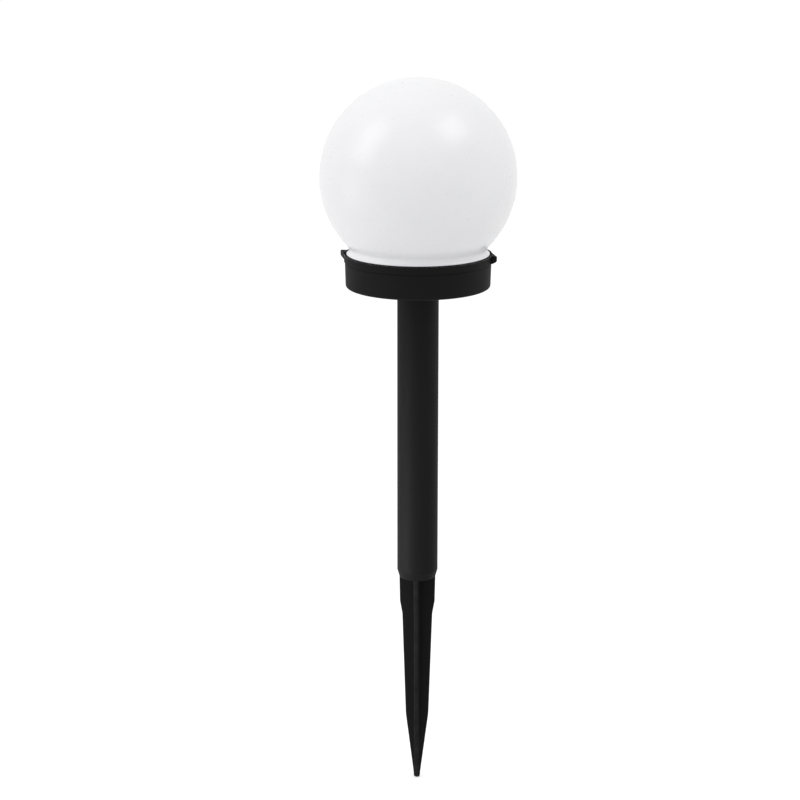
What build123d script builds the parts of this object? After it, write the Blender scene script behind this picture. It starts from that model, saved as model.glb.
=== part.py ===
from build123d import *

import math
import os

# Garden globe light. An opal globe twists into a shallow cup, the cup plugs into a straight tube, and
# the tube plugs onto a ribbed ground spike. A small solar panel, a rechargeable cell and two light
# emitters sit on a deck under the globe.
# Millimetres, +Z up. The origin is on the axis at the ground line, where the tube meets the spike.
# The tips of the cup's thumb tabs lie on the X axis.

# Ground spike
spike_length = 104.0  # from the ground line to the tip
spike_tip_r = 1.4  # rounding of the tip
blade_t = 2.0  # thickness of the four blades
blade_round = 0.35  # rounding of their long edges
collar_length = 12.7  # wide part just under the tube
collar_foot_half = 8.3  # half the width across two blades at the collar's foot
neck_drop = 6.5  # height over which the collar draws in
neck_half = 7.15  # half the width under the collar
point_length = 33.4  # steeper end, from the bend to the tip
bend_half = 5.45  # half the width at that bend
bend_round = 30.0  # rounding of the bend
plug_length = 22.0  # blades inside the tube
spike_turn = 9.0  # degrees by which the blades are turned against the cup's tabs

# Tube
pole_d = 19.2
pole_wall = 1.6
pole_length = 140.5
pole_chamfer_h = 3.5  # height of the cone at its lower end
pole_chamfer_in = 1.05  # how far that cone draws in

# Cup
cup_height = 15.5
cup_r = 33.6  # outside radius under the lip
cup_draft = 0.3  # how much narrower it is at its foot
cup_foot_round = 1.2
cup_wall = 2.7
cup_floor = 1.6
lip_height = 3.6
lip_out = 0.4  # how far the lip stands out
lip_wall = 1.5
lip_round = 0.35
groove_depth = 1.5  # bayonet grooves in the wall
groove_roof = 1.75  # wall between the ledge and the grooves
tab_out = 3.2  # how far the tips of the thumb tabs stand out from the lip
tab_arc = 25.0  # degrees over which a tab's flank rises
tab_height = 3.5  # at its root
tab_edge = 2.2  # at its tip
tab_round = 0.8
spigot_length = 20.0  # tube under the cup that plugs into the pole
spigot_wall = 1.35
spigot_relief = 0.4  # gap between the spigot's core and the pole's bore
spigot_ribs = 6
spigot_rib_w = 1.6
post_r = 2.8  # screw posts on the cup's floor

# Globe
globe_d = 90.0
globe_wall = 1.6
flange_t = 1.8  # collar on its neck, which closes the cup's mouth
flange_sink = 0.4  # how far that collar lies below the lip
shoulder_w = 1.1  # from the neck's bore in to where the sphere starts
throat_round = 0.5
neck_wall = 1.5
neck_tail = 0.8  # neck below the lugs
lug_count = 3
lug_width = 4.4
lug_height = 2.0
lug_turn = 25.0  # degrees that the globe turns to lock
seal_d = 1.7  # section of the rubber ring under the flange

# Deck under the globe
deck_t = 1.4
deck_rise = 0.6  # how far the plateau stands above the lip
boss_r = 2.0  # bosses for the circuit board
board_drop = 9.0  # from the plateau's underside to the board
deck_screw_angle = 62.0  # place of the screws, counted from the X axis
deck_screw_in = 3.0  # from the plateau's edge to the screws
post_gap_h = 4.2  # length of the sleeves that come down to the posts

# Solar panel
panel_edge = 3.1  # from its corners to the plateau's edge
panel_backing_t = 1.2
panel_sink = 0.8  # depth of its recess
panel_margin = 1.8  # bare edge round the cells
panel_cover_t = 0.9
cell_rows = 4
cell_t = 0.3
cell_gap = 0.5

# Circuit board and what is on it
board_t = 1.2
board_screw_x = 13.0
board_screw_y = 10.0  # from the board's straight edge
chip_size = (5.2, 1.8, 3.7)
chip_legs = 4
chip_leg_l = 1.3
leg_w = 0.45
choke_d = 3.0
choke_l = 7.5
cap_d = 4.0
cap_l = 5.0
switch_side = 5.8
switch_h = 5.5
switch_bore_deep = 3.4
button_r = 1.9
button_stem_r = 1.0
button_flange_r = 2.5
button_flange_t = 0.8
button_up = 1.0  # how far it stands above the deck
button_travel = 1.2

# Light emitters
led_r = 2.4
led_flange_r = 2.8
led_flange_t = 1.0
led_h = 4.4
led_pitch = 2.54
led_angle = 8.0  # degrees below the X axis

# Cell and its contacts
cell_can_r = 5.1
cell_can_l = 28.7
cell_nub_r = 1.9
cell_nub_h = 0.8
jacket_t = 0.15
cradle_wall = 1.0
cradle_below = 2.2  # how far its arms reach past the cell's middle
contact_t = 0.4
contact_w = 7.6
contact_tab = 2.0
spring_wire = 0.5
spring_l = 2.6
spring_base_r = 3.3
spring_tip_r = 1.9
spring_turns = 3
lead_d = 0.6
panel_lead_x = 2.0  # from the axis to the panel's wires

# Screws
screw_r = 1.1
screw_head_r = 2.0
screw_head_h = 1.3
screw_l = 10.0
small_screw_r = 0.8
small_head_r = 1.5
small_head_h = 1.0
small_screw_l = 6.0

# Clearances
plug_fit = 0.07  # spike and spigot in the tube's bore, radial
neck_gap = 0.5  # neck in the cup's bore
flange_gap = 0.3  # flange in the lip
deck_gap = 0.6  # deck inside the neck and throat
lug_play = 0.3  # lug in its groove, at the side and below
lug_roof_play = 0.2
seal_play = 0.175  # ring against its two seats
running = 0.15  # button in its hole
small_gap = 0.1  # pieces laid into a recess

# Levels, from the ground line up
cup_z = pole_length
cup_top = cup_z + cup_height
floor_top = cup_z + cup_floor
flange_top = cup_top - flange_sink
flange_low = flange_top - flange_t
ledge_z = flange_low - seal_d - 2 * seal_play
groove_top = ledge_z - groove_roof
lug_top = groove_top - lug_roof_play
lug_low = lug_top - lug_height
groove_low = lug_low - lug_play
neck_low = lug_low - neck_tail
shoulder_top = flange_low - seal_play - running
shoulder_low = shoulder_top - deck_t
deck_top = cup_top + deck_rise
deck_low = deck_top - deck_t
post_top = deck_low - post_gap_h
board_top = deck_low - board_drop
board_low = board_top - board_t
cell_z = deck_low - 2 * small_gap - cell_can_r - jacket_t

# Radii, from the outside in
pole_r = pole_d / 2
pole_bore_r = pole_r - pole_wall
pole_foot_r = pole_r - pole_chamfer_in
lip_r = cup_r + lip_out
lip_bore_r = lip_r - lip_wall
cup_bore_r = cup_r - cup_wall
groove_r = cup_bore_r + groove_depth
flange_r = lip_bore_r - flange_gap
neck_r = cup_bore_r - neck_gap
neck_bore_r = neck_r - neck_wall
lug_r = groove_r - lug_play
throat_r = neck_bore_r - shoulder_w
globe_r = globe_d / 2
globe_in_r = globe_r - globe_wall
throat_drop = math.sqrt(globe_r**2 - throat_r**2)
globe_z = flange_top + throat_drop
throat_in_r = math.sqrt(globe_in_r**2 - throat_drop**2)
skirt_r = neck_bore_r - deck_gap
skirt_in_r = skirt_r - deck_t
plateau_r = throat_in_r - deck_gap
plateau_in_r = plateau_r - deck_t
board_r = skirt_in_r - deck_gap
panel_side = (plateau_r - panel_edge) * math.sqrt(2)

# Places on the deck and the board
cell_x_half = (2 * contact_t + spring_l + cell_can_l + cell_nub_h) / 2
cradle_x_half = cell_x_half + cradle_wall
cradle_y_half = cell_can_r + jacket_t + small_gap + cradle_wall
cradle_r = plateau_in_r - deck_gap / 2
cell_y = math.sqrt(cradle_r**2 - cradle_x_half**2) - cradle_y_half
board_edge_y = cell_y - cradle_y_half - deck_gap
button_y = -panel_side / 2 - small_gap - switch_side / 2
deck_screw_r = plateau_r - deck_screw_in
deck_screw_spots = [
    (
        side * deck_screw_r * math.cos(math.radians(deck_screw_angle)),
        side * deck_screw_r * math.sin(math.radians(deck_screw_angle)),
    )
    for side in (1, -1)
]
led_ring_r = plateau_in_r - led_flange_r - small_gap
led_spots = [
    (
        side * led_ring_r * math.cos(math.radians(led_angle)),
        -led_ring_r * math.sin(math.radians(led_angle)),
    )
    for side in (1, -1)
]
board_screw_spots = [(side * board_screw_x, board_edge_y - board_screw_y) for side in (1, -1)]
panel_lead_y = board_edge_y - 4 * lead_d
panel_lead_spots = {"red": (panel_lead_x, panel_lead_y), "black": (-panel_lead_x, panel_lead_y)}
cell_low_x = -cell_x_half + contact_t + spring_l


def turned(outline, rounds=()):
    """Revolve a closed outline of (radius, height) points about Z; rounds are (corner, radius)."""
    face = make_face(Polyline(*outline, close=True))
    for corner, radius in rounds:
        face = fillet(face.vertices().sort_by_distance((*corner, 0))[0], radius)
    return revolve(Plane.XZ * face, Axis.Z)


def tube(outer, inner, low, high):
    """Upright tube, or a rod where the inner radius is 0."""
    return turned([(inner, low), (outer, low), (outer, high), (inner, high)])


def ring_sector(inner, outer, low, high, start, arc):
    """Part of a ring between two radii and two heights, from the angle start over the angle arc."""
    section = Rectangle(outer - inner, high - low)
    face = Plane.XZ * Pos((inner + outer) / 2, (low + high) / 2) * section
    return Rot(0, 0, start) * revolve(face, Axis.Z, revolution_arc=arc)


def block(x, y, z):
    """Box between the given (low, high) pairs."""
    size = [high - low for low, high in (x, y, z)]
    middle = [(high + low) / 2 for low, high in (x, y, z)]
    return Pos(*middle) * Box(*size)


def arc_of(width, radius):
    """Angle in degrees that a width spans on a circle."""
    return math.degrees(width / radius)


def ground_spike():
    """Two crossed plates of one stepped and tapered outline, which go on as a plug into the tube."""
    plug_half = math.sqrt((pole_bore_r - plug_fit) ** 2 - (blade_t / 2) ** 2)
    corner = 2 * blade_t
    right = [
        (plug_half - corner / 4, plug_length),
        (plug_half, plug_length - corner / 2),
        (plug_half, 0),
        (pole_foot_r, 0),
        (collar_foot_half, -collar_length),
        (neck_half, -collar_length - neck_drop),
        (bend_half, -spike_length + point_length),
        (spike_tip_r, -spike_length + spike_tip_r / 2),
    ]
    left = [(-x, z) for x, z in reversed(right)]
    tip = ThreePointArc(right[-1], (0, -spike_length), left[0])
    outline = make_face(Polyline(*right) + tip + Polyline(*left) + Line(left[-1], right[0]))
    for x, z in (right[5], left[2]):
        outline = fillet(outline.vertices().sort_by_distance((x, z, 0))[0], neck_drop / 2)
    for x, z in (right[6], left[1]):
        outline = fillet(outline.vertices().sort_by_distance((x, z, 0))[0], bend_round)
    plate = extrude(Plane.XZ * outline, blade_t / 2, both=True)
    below = [edge for edge in plate.edges() if edge.center().Z < -blade_round]
    rims = [edge for edge in below if abs(edge.center().Y) > blade_t / 4]
    plate = fillet(rims, blade_round)
    return Rot(0, 0, spike_turn) * (plate + Rot(0, 0, 90) * plate)


def pole_tube():
    """Straight tube with a cone at its lower end."""
    return turned(
        [
            (pole_bore_r, 0),
            (pole_foot_r, 0),
            (pole_r, pole_chamfer_h),
            (pole_r, pole_length),
            (pole_bore_r, pole_length),
        ]
    )


def base_cup():
    """Cup with a raised lip, two thumb tabs, bayonet grooves, two screw posts and a ribbed spigot."""
    foot_r = cup_r - cup_draft
    lip_z = cup_top - lip_height
    shell = turned(
        [
            (0, cup_z),
            (foot_r, cup_z),
            (cup_r, lip_z),
            (lip_r, lip_z),
            (lip_r, cup_top),
            (lip_bore_r, cup_top),
            (lip_bore_r, ledge_z),
            (cup_bore_r, ledge_z),
            (cup_bore_r, floor_top),
            (0, floor_top),
        ],
        [((foot_r, cup_z), cup_foot_round), ((lip_r, cup_top), lip_round), ((lip_r, lip_z), lip_round / 2)],
    )
    cup = shell + thumb_tab() + Rot(0, 0, 180) * thumb_tab()
    cup -= bayonet_grooves()
    for x, y in deck_screw_spots:
        cup += Pos(x, y) * tube(post_r, screw_r + small_gap / 2, floor_top, post_top)
    return cup + spigot()


def thumb_tab():
    """Saw-tooth tab: its flank rises from the lip to the tip and drops back square, over a sloped underside."""
    root_r = lip_r - lip_wall / 4
    tip_r = lip_r + tab_out
    flank = math.radians(tab_arc)
    start = (root_r * math.cos(flank), root_r * math.sin(flank))
    plan = make_face(Polyline((root_r, 0), (tip_r, 0), start, close=True))
    plan = fillet(plan.vertices().sort_by(Axis.X)[-1], tab_round)
    slab = Pos(0, 0, cup_top - tab_height) * extrude(plan, tab_height)
    underside = turned(
        [
            (0, cup_top - tab_height),
            (lip_r + tab_out / 4, cup_top - tab_height),
            (tip_r, cup_top - tab_edge),
            (tip_r, cup_top),
            (0, cup_top),
        ]
    )
    return slab & underside


def bayonet_grooves():
    """L-shaped grooves: a slot down from the ledge, then a run clockwise round the wall under its roof."""
    slot_arc = arc_of(lug_width + 2 * lug_play, lug_r)
    cuts = []
    for index in range(lug_count):
        middle = 90 + index * 360 / lug_count
        start = middle - slot_arc / 2
        cuts.append(ring_sector(cup_bore_r - 1, groove_r, groove_low, ledge_z + 1, start, slot_arc))
        start -= lug_turn
        run_arc = slot_arc + lug_turn
        cuts.append(ring_sector(cup_bore_r - 1, groove_r, groove_low, groove_top, start, run_arc))
    return cuts


def spigot():
    """Tube under the cup, open below, with long ribs that fit the pole's bore."""
    core_r = pole_bore_r - spigot_relief
    rib_r = pole_bore_r - plug_fit
    low = cup_z - spigot_length
    body = tube(core_r, core_r - spigot_wall, low, cup_z)
    reach = tube(rib_r, 0, low + spigot_wall, cup_z)
    for index in range(spigot_ribs):
        rib_x = (core_r - spigot_wall / 2, rib_r)
        rib = block(rib_x, (-spigot_rib_w / 2, spigot_rib_w / 2), (low, cup_z))
        body += Rot(0, 0, index * 360 / spigot_ribs) * (rib & reach)
    return body


def globe_shade():
    """Sphere shell on a flange and a short neck with bayonet lugs, open below."""
    sphere = ThreePointArc((0, globe_r), (globe_r, 0), (throat_r, -throat_drop))
    low = flange_low - globe_z
    neck = Polyline(
        (throat_r, -throat_drop),
        (flange_r, -throat_drop),
        (flange_r, low),
        (neck_r, low),
        (neck_r, neck_low - globe_z),
        (neck_bore_r, neck_low - globe_z),
        (neck_bore_r, low),
        (throat_in_r, -throat_drop),
    )
    inside = ThreePointArc((throat_in_r, -throat_drop), (globe_in_r, 0), (0, globe_in_r))
    outline = make_face(sphere + neck + inside + Line((0, globe_in_r), (0, globe_r)))
    throat_edge = outline.vertices().sort_by_distance((throat_in_r, -throat_drop, 0))[0]
    outline = fillet(throat_edge, throat_round)
    shade = Pos(0, 0, globe_z) * revolve(Plane.XZ * outline, Axis.Z)
    lug_arc = arc_of(lug_width, lug_r)
    for index in range(lug_count):
        start = 90 + index * 360 / lug_count - lug_arc / 2
        shade += ring_sector(neck_r - neck_wall / 2, lug_r, lug_low, lug_top, start, lug_arc)
    return shade


def neck_seal():
    """Rubber ring on the neck, between the flange and the cup's ledge."""
    ring_r = neck_r + small_gap + seal_d / 2
    return Pos(0, 0, ledge_z + seal_play + seal_d / 2) * Torus(ring_r, seal_d / 2)


def deck_housing():
    """Upturned tray: a skirt on the cup's floor, a shoulder, and a plateau with bosses under it."""
    tray = turned(
        [
            (skirt_in_r, floor_top),
            (skirt_r, floor_top),
            (skirt_r, shoulder_top),
            (plateau_r, shoulder_top),
            (plateau_r, deck_top),
            (0, deck_top),
            (0, deck_low),
            (plateau_in_r, deck_low),
            (plateau_in_r, shoulder_low),
            (skirt_in_r, shoulder_low),
        ],
        [((skirt_r, shoulder_top), deck_t / 2), ((plateau_r, deck_top), deck_t / 2)],
    )
    for x, y in deck_screw_spots:
        tray += Pos(x, y) * tube(post_r, 0, post_top, deck_low)
    for x, y in board_screw_spots:
        tray += Pos(x, y) * tube(boss_r, 0, board_top, deck_low)
    half = panel_side / 2 + small_gap
    tray -= block((-half, half), (-half, half), (deck_top - panel_sink, deck_top + 1))
    for x, y in deck_screw_spots:
        tray -= Pos(x, y) * tube(screw_r + 2 * small_gap, 0, post_top - 1, deck_top + 1)
    for x, y in board_screw_spots:
        tray -= Pos(x, y) * tube(small_screw_r + small_gap / 2, 0, board_top - 1, board_top + small_screw_l)
    for x, y in led_spots:
        tray -= Pos(x, y) * tube(led_r + small_gap, 0, deck_low - 1, deck_top + 1)
    tray -= Pos(0, button_y) * tube(button_r + running, 0, deck_low - 1, deck_top + 1)
    for x, y in panel_lead_spots.values():
        tray -= Pos(x, y) * tube(lead_d / 2 + small_gap, 0, deck_low - 1, deck_top)
    return tray


def cross_head_screw(radius, length, head_r, head_h):
    """Screw with its head's underside at height 0, shank down, and a cross in a domed head."""
    dome = turned(
        [(0, 0), (head_r, 0), (head_r, head_h), (0, head_h)], [((head_r, head_h), 0.6 * head_h)]
    )
    for angle in (0, 90):
        arm = block((-head_r / 2, head_r / 2), (-head_r / 8, head_r / 8), (head_h / 2, head_h + 1))
        dome -= Rot(0, 0, angle) * arm
    point = turned([(0, -length), (radius, -length + 2 * radius), (radius, 0), (0, 0)])
    return dome + point


def deck_screws():
    """Two screws through the plateau into the cup's posts."""
    screw = cross_head_screw(screw_r, screw_l, screw_head_r, screw_head_h)
    return [Pos(x, y, deck_top) * screw for x, y in deck_screw_spots]


def solar_backing():
    """Fibre board of the panel, laid into the plateau's recess."""
    low = deck_top - panel_sink
    return Pos(0, 0, low + panel_backing_t / 2) * Box(panel_side, panel_side, panel_backing_t)


def cell_strips(grow):
    """Silicon strips side by side on the backing; grow widens and lifts each for its pocket."""
    across = panel_side - 2 * panel_margin
    pitch = (across + cell_gap) / cell_rows
    low = deck_top - panel_sink + panel_backing_t
    strips = []
    for index in range(cell_rows):
        x = (index - (cell_rows - 1) / 2) * pitch
        half = (pitch - cell_gap) / 2 + grow
        strip_y = (-across / 2 - grow, across / 2 + grow)
        strips.append(block((x - half, x + half), strip_y, (low, low + cell_t + grow)))
    return strips


def solar_cells():
    """The panel's four strips."""
    return cell_strips(0)


def solar_cover():
    """Clear resin over the strips, with a rounded top edge."""
    low = deck_top - panel_sink + panel_backing_t
    side = panel_side - 2 * small_gap
    cover = Pos(0, 0, low + panel_cover_t / 2) * Box(side, side, panel_cover_t)
    cover = fillet(cover.faces().sort_by(Axis.Z)[-1].edges(), panel_cover_t / 3)
    for strip in cell_strips(small_gap / 5):
        cover -= strip
    return cover


def circuit_board():
    """Disc cut straight beside the cell, with holes for a post, screws and wire legs."""
    board = tube(board_r, 0, board_low, board_top)
    far = 2 * board_r
    board -= block((-far, far), (board_edge_y, far), (board_low - 1, board_top + 1))
    x, y = deck_screw_spots[1]
    board -= Pos(x, y) * tube(post_r + deck_gap, 0, board_low - 1, board_top + 1)
    for x, y in board_screw_spots:
        board -= Pos(x, y) * tube(small_screw_r + 2 * small_gap, 0, board_low - 1, board_top + 1)
    for x, y in led_leg_spots():
        board -= Pos(x, y) * tube(leg_w, 0, board_low - 1, board_top + 1)
    return board


def board_screws():
    """Two screws from below, through the board into the deck's bosses."""
    screw = Rot(180, 0, 0) * cross_head_screw(small_screw_r, small_screw_l, small_head_r, small_head_h)
    return [Pos(x, y, board_low) * screw for x, y in board_screw_spots]


def boost_chip():
    """Light controller: a block with two bevelled front edges on four flat legs."""
    width, depth, height = chip_size
    low = board_top + chip_leg_l
    body = block((-width / 2, width / 2), (-depth / 2, depth / 2), (low, low + height))
    front = body.faces().sort_by(Axis.Y)[0].edges().filter_by(Axis.Z)
    body = chamfer(front, depth / 3)
    pitch = width / chip_legs
    for index in range(chip_legs):
        x = (index - (chip_legs - 1) / 2) * pitch
        body += block((x - leg_w / 2, x + leg_w / 2), (-leg_w / 2, leg_w / 2), (board_top, low))
    return Pos(width, board_edge_y - 2 * cap_d - depth) * body


def choke_coil():
    """Axial choke: a waisted body lying over the board on two bent wire legs."""
    body = turned(
        [
            (0, -choke_l / 2),
            (choke_d / 2, -choke_l / 2),
            (choke_d / 2, -choke_l / 4),
            (choke_d / 2 - small_gap, 0),
            (choke_d / 2, choke_l / 4),
            (choke_d / 2, choke_l / 2),
            (0, choke_l / 2),
        ],
        [((choke_d / 2, -choke_l / 2), choke_d / 6), ((choke_d / 2, choke_l / 2), choke_d / 6)],
    )
    low = board_top + small_gap
    axis_z = low + choke_d / 2
    coil = Pos(0, 0, axis_z) * Rot(0, 90, 0) * body
    reach = choke_l / 2 + 3 * leg_w
    for side in (1, -1):
        bend = 1.5 * leg_w
        inside = (side * choke_l / 4, 0, axis_z)
        path = FilletPolyline(inside, (side * reach, 0, axis_z), (side * reach, 0, board_top), radius=bend)
        coil += sweep(Plane(path @ 0, z_dir=path % 0) * Circle(leg_w / 2), path)
    return Pos(-choke_l / 2, board_edge_y - 2 * choke_d) * coil


def filter_capacitor():
    """Small can standing on the board, with a rolled groove near its foot."""
    can = turned(
        [
            (0, 0),
            (cap_d / 2, 0),
            (cap_d / 2, cap_l / 6),
            (cap_d / 2 - small_gap, cap_l / 5),
            (cap_d / 2, cap_l / 4),
            (cap_d / 2, cap_l),
            (0, cap_l),
        ],
        [((cap_d / 2, cap_l), cap_d / 10)],
    )
    return Pos(2 * cap_d, board_edge_y - cap_d, board_top) * can


def switch_body():
    """Square switch on the board, bored for the button's stem."""
    body = Pos(0, button_y, board_top + switch_h / 2) * Box(switch_side, switch_side, switch_h)
    body = chamfer(body.edges().filter_by(Axis.Z), switch_side / 16)
    top = board_top + switch_h
    bore = tube(button_stem_r + running, 0, top - switch_bore_deep, top + 1)
    return body - Pos(0, button_y) * bore


def power_button():
    """Button through the deck: a cap, a stop collar under the deck and a stem into the switch."""
    collar_top = deck_low - running
    collar_low = collar_top - button_flange_t
    switch_top = board_top + switch_h
    stem_low = switch_top - switch_bore_deep + button_travel + 2 * running
    button = turned(
        [
            (0, stem_low),
            (button_stem_r, stem_low),
            (button_stem_r, collar_low),
            (button_flange_r, collar_low),
            (button_flange_r, collar_top),
            (button_r, collar_top),
            (button_r, deck_top + button_up),
            (0, deck_top + button_up),
        ],
        [((button_r, deck_top + button_up), button_r / 4)],
    )
    return Pos(0, button_y) * button


def led_lamps():
    """Two low round lenses that stand through the deck, on a flange that stops under it."""
    low = deck_low - led_flange_t
    lens = turned(
        [
            (0, low),
            (led_flange_r, low),
            (led_flange_r, deck_low),
            (led_r, deck_low),
            (led_r, deck_low + led_h),
            (0, deck_low + led_h),
        ],
        [((led_r, deck_low + led_h), 0.6 * led_r)],
    )
    return [Pos(x, y) * lens for x, y in led_spots]


def led_leg_spots():
    """Where the four wire legs meet the board."""
    return [(x, y + side * led_pitch / 2) for x, y in led_spots for side in (1, -1)]


def led_legs():
    """Square wire legs from the lenses down through the board."""
    low = board_low - leg_w
    high = deck_low - led_flange_t
    leg = block((-leg_w / 2, leg_w / 2), (-leg_w / 2, leg_w / 2), (low, high))
    return [Pos(x, y) * leg for x, y in led_leg_spots()]


def lay_cell(piece):
    """Turn an upright cell piece along X, with its height 0 at the can's plain end."""
    return Pos(cell_low_x, cell_y, cell_z) * Rot(0, 90, 0) * piece


def battery_can():
    """Steel can with a contact nub."""
    nub_top = cell_can_l + cell_nub_h
    can = turned(
        [
            (0, 0),
            (cell_can_r, 0),
            (cell_can_r, cell_can_l),
            (cell_nub_r, cell_can_l),
            (cell_nub_r, nub_top),
            (0, nub_top),
        ],
        [((cell_can_r, 0), cell_nub_h / 2), ((cell_can_r, cell_can_l), cell_nub_h / 2)],
    )
    return lay_cell(can)


def battery_jacket():
    """Thin sleeve round the can."""
    inner = cell_can_r + small_gap / 5
    return lay_cell(tube(cell_can_r + jacket_t, inner, cell_nub_h, cell_can_l - cell_nub_h))


def battery_cradle():
    """Open frame under the plateau whose arms curve in below the cell's middle and hold it."""
    half_y = cradle_y_half
    frame_y = (cell_y - half_y, cell_y + half_y)
    frame = block((-cradle_x_half, cradle_x_half), frame_y, (cell_z - cradle_below, deck_low))
    frame &= tube(cradle_r, 0, cell_z - cradle_below, deck_low)
    hold_r = half_y - cradle_wall
    bore = Pos(0, cell_y, cell_z) * Rot(0, 90, 0) * Cylinder(hold_r, 2 * cell_x_half)
    above = block((-cell_x_half, cell_x_half), (cell_y - hold_r, cell_y + hold_r), (cell_z, deck_low + 1))
    frame = frame - bore - above
    notch_half = contact_tab / 2 + small_gap
    for side in (1, -1):
        notch = block(
            (cell_x_half - contact_t - small_gap, cell_x_half),
            (cell_y - half_y - 1, cell_y),
            (cell_z - notch_half, cell_z + notch_half),
        )
        frame -= notch if side > 0 else mirror(notch, Plane.YZ)
    return frame


def battery_contacts():
    """Flat contacts at both ends of the cradle, each with a tab through its side."""
    reach = cell_y - cradle_y_half - contact_t
    plates = []
    for side in (1, -1):
        x = sorted((side * cell_x_half, side * (cell_x_half - contact_t)))
        plate_y = (cell_y - contact_w / 2, cell_y + contact_w / 2)
        plate = block(x, plate_y, (cell_z - cradle_below, cell_z + contact_w / 2))
        tab = block(x, (reach, cell_y), (cell_z - contact_tab / 2, cell_z + contact_tab / 2))
        plates.append(plate + tab)
    return plates


def battery_spring():
    """Cone-shaped coil from the contact to the can's plain end, one unbroken wire.

    Each half turn is an arc across the coil. Its ends lie on opposite sides of the cell's axis, the
    later one higher and nearer in, and the wire leaves every end in the same line.
    """
    halves = 2 * spring_turns
    rise = (spring_l - spring_wire) / halves
    shrink = (spring_base_r - spring_tip_r) / halves
    ends = [((-1) ** k * (spring_base_r - k * shrink), k * rise) for k in range(halves + 1)]
    path = []
    for k, ((x0, z0), (x1, z1)) in enumerate(zip(ends, ends[1:])):
        bulge = (-1) ** k * math.hypot(x1 - x0, z1 - z0) / 2
        path.append(ThreePointArc((x0, 0, z0), ((x0 + x1) / 2, bulge, (z0 + z1) / 2), (x1, 0, z1)))
    wire = Wire([arc.edge() for arc in path])
    coil = sweep(Plane(wire @ 0, z_dir=wire % 0) * Circle(spring_wire / 2), wire)
    seat = Pos(-cell_x_half + contact_t + spring_wire / 2, cell_y, cell_z)
    return seat * Rot(0, 90, 0) * coil


def lead(points):
    """Wire along straight runs joined by tangent arcs as large as the runs allow."""
    spots = [Vector(*p) for p in points]
    runs = [b - a for a, b in zip(spots, spots[1:])]
    radii = []
    for before, after in zip(runs, runs[1:]):
        turn = math.radians(before.get_angle(after))
        radii.append(0.45 * min(before.length, after.length) / math.tan(turn / 2))
    path = FilletPolyline(*spots, radius=radii)
    return sweep(Plane(path @ 0, z_dir=path % 0) * Circle(lead_d / 2), path)


def panel_lead(colour):
    """Wire from the panel's underside through the deck to the board."""
    x, y = panel_lead_spots[colour]
    side = math.copysign(1, x)
    high = deck_top - panel_sink
    step = (high - board_top) / 3
    aside = x + side * lead_d * 4
    return lead([(x, y, high), (x, y, high - step), (aside, y, board_top + step), (aside, y, board_top)])


def battery_lead(side):
    """Wire from a contact's tab down to the board."""
    x = side * (cell_x_half - contact_t / 2)
    start = cell_y - cradle_y_half - contact_t
    drop = (cell_z - board_top) / 2
    return lead(
        [
            (x, start, cell_z),
            (x, start - drop, cell_z),
            (x, start - 2 * drop, cell_z - drop),
            (x, start - 2 * drop, board_top),
        ]
    )


nodes = {
    "ground_spike": ground_spike(),
    "pole_tube": pole_tube(),
    "base_cup": base_cup(),
    "globe_shade": globe_shade(),
    "neck_seal": neck_seal(),
    "deck_housing": deck_housing(),
    "deck_screws": deck_screws(),
    "solar_backing": solar_backing(),
    "solar_cells": solar_cells(),
    "solar_cover": solar_cover(),
    "circuit_board": circuit_board(),
    "board_screws": board_screws(),
    "boost_chip": boost_chip(),
    "choke_coil": choke_coil(),
    "filter_capacitor": filter_capacitor(),
    "switch_body": switch_body(),
    "power_button": power_button(),
    "led_lamps": led_lamps(),
    "led_legs": led_legs(),
    "battery_can": battery_can(),
    "battery_jacket": battery_jacket(),
    "battery_cradle": battery_cradle(),
    "battery_contacts": battery_contacts(),
    "battery_spring": battery_spring(),
    "panel_lead_red": panel_lead("red"),
    "panel_lead_black": panel_lead("black"),
    "battery_lead_red": battery_lead(1),
    "battery_lead_black": battery_lead(-1),
}

os.makedirs("parts", exist_ok=True)
for name, shape in nodes.items():
    whole = Compound(children=shape) if isinstance(shape, list) else shape
    export_step(whole, f"parts/{name}.step")
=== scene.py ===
import math

import bpy
import numpy as np
from bpy.props import FloatProperty, FloatVectorProperty, IntProperty, PointerProperty
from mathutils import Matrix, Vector


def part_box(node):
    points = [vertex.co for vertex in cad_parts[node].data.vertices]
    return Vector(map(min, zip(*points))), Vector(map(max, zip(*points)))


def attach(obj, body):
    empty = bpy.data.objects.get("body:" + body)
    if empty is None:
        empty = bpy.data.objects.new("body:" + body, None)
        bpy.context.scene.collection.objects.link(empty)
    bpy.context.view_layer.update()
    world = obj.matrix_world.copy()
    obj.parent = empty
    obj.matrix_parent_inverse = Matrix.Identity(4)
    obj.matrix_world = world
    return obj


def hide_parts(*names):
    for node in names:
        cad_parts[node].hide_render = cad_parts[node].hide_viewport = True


bl_info = {
    "name": "Garden Globe Light",
    "version": (1, 0, 0),
    "blender": (4, 5, 0),
    "location": "View3D > Sidebar > Globe Light",
    "description": "Opal garden globe light on a ground spike, with its deck, cell and studio stage",
    "category": "Add Mesh",
}

# Metres throughout, in the frame's axes. The light stands on the Z axis with the ground line at height 0.
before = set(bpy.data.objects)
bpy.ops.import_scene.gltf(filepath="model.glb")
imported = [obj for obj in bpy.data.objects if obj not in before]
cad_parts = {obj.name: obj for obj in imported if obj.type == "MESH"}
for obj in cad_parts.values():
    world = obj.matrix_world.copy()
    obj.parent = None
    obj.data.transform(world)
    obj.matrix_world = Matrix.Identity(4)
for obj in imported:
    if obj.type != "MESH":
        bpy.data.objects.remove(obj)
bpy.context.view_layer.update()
MM = 0.001


def low(node):
    """Lowest corner of a CAD node."""
    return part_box(node)[0]


def high(node):
    """Highest corner of a CAD node."""
    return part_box(node)[1]


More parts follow.
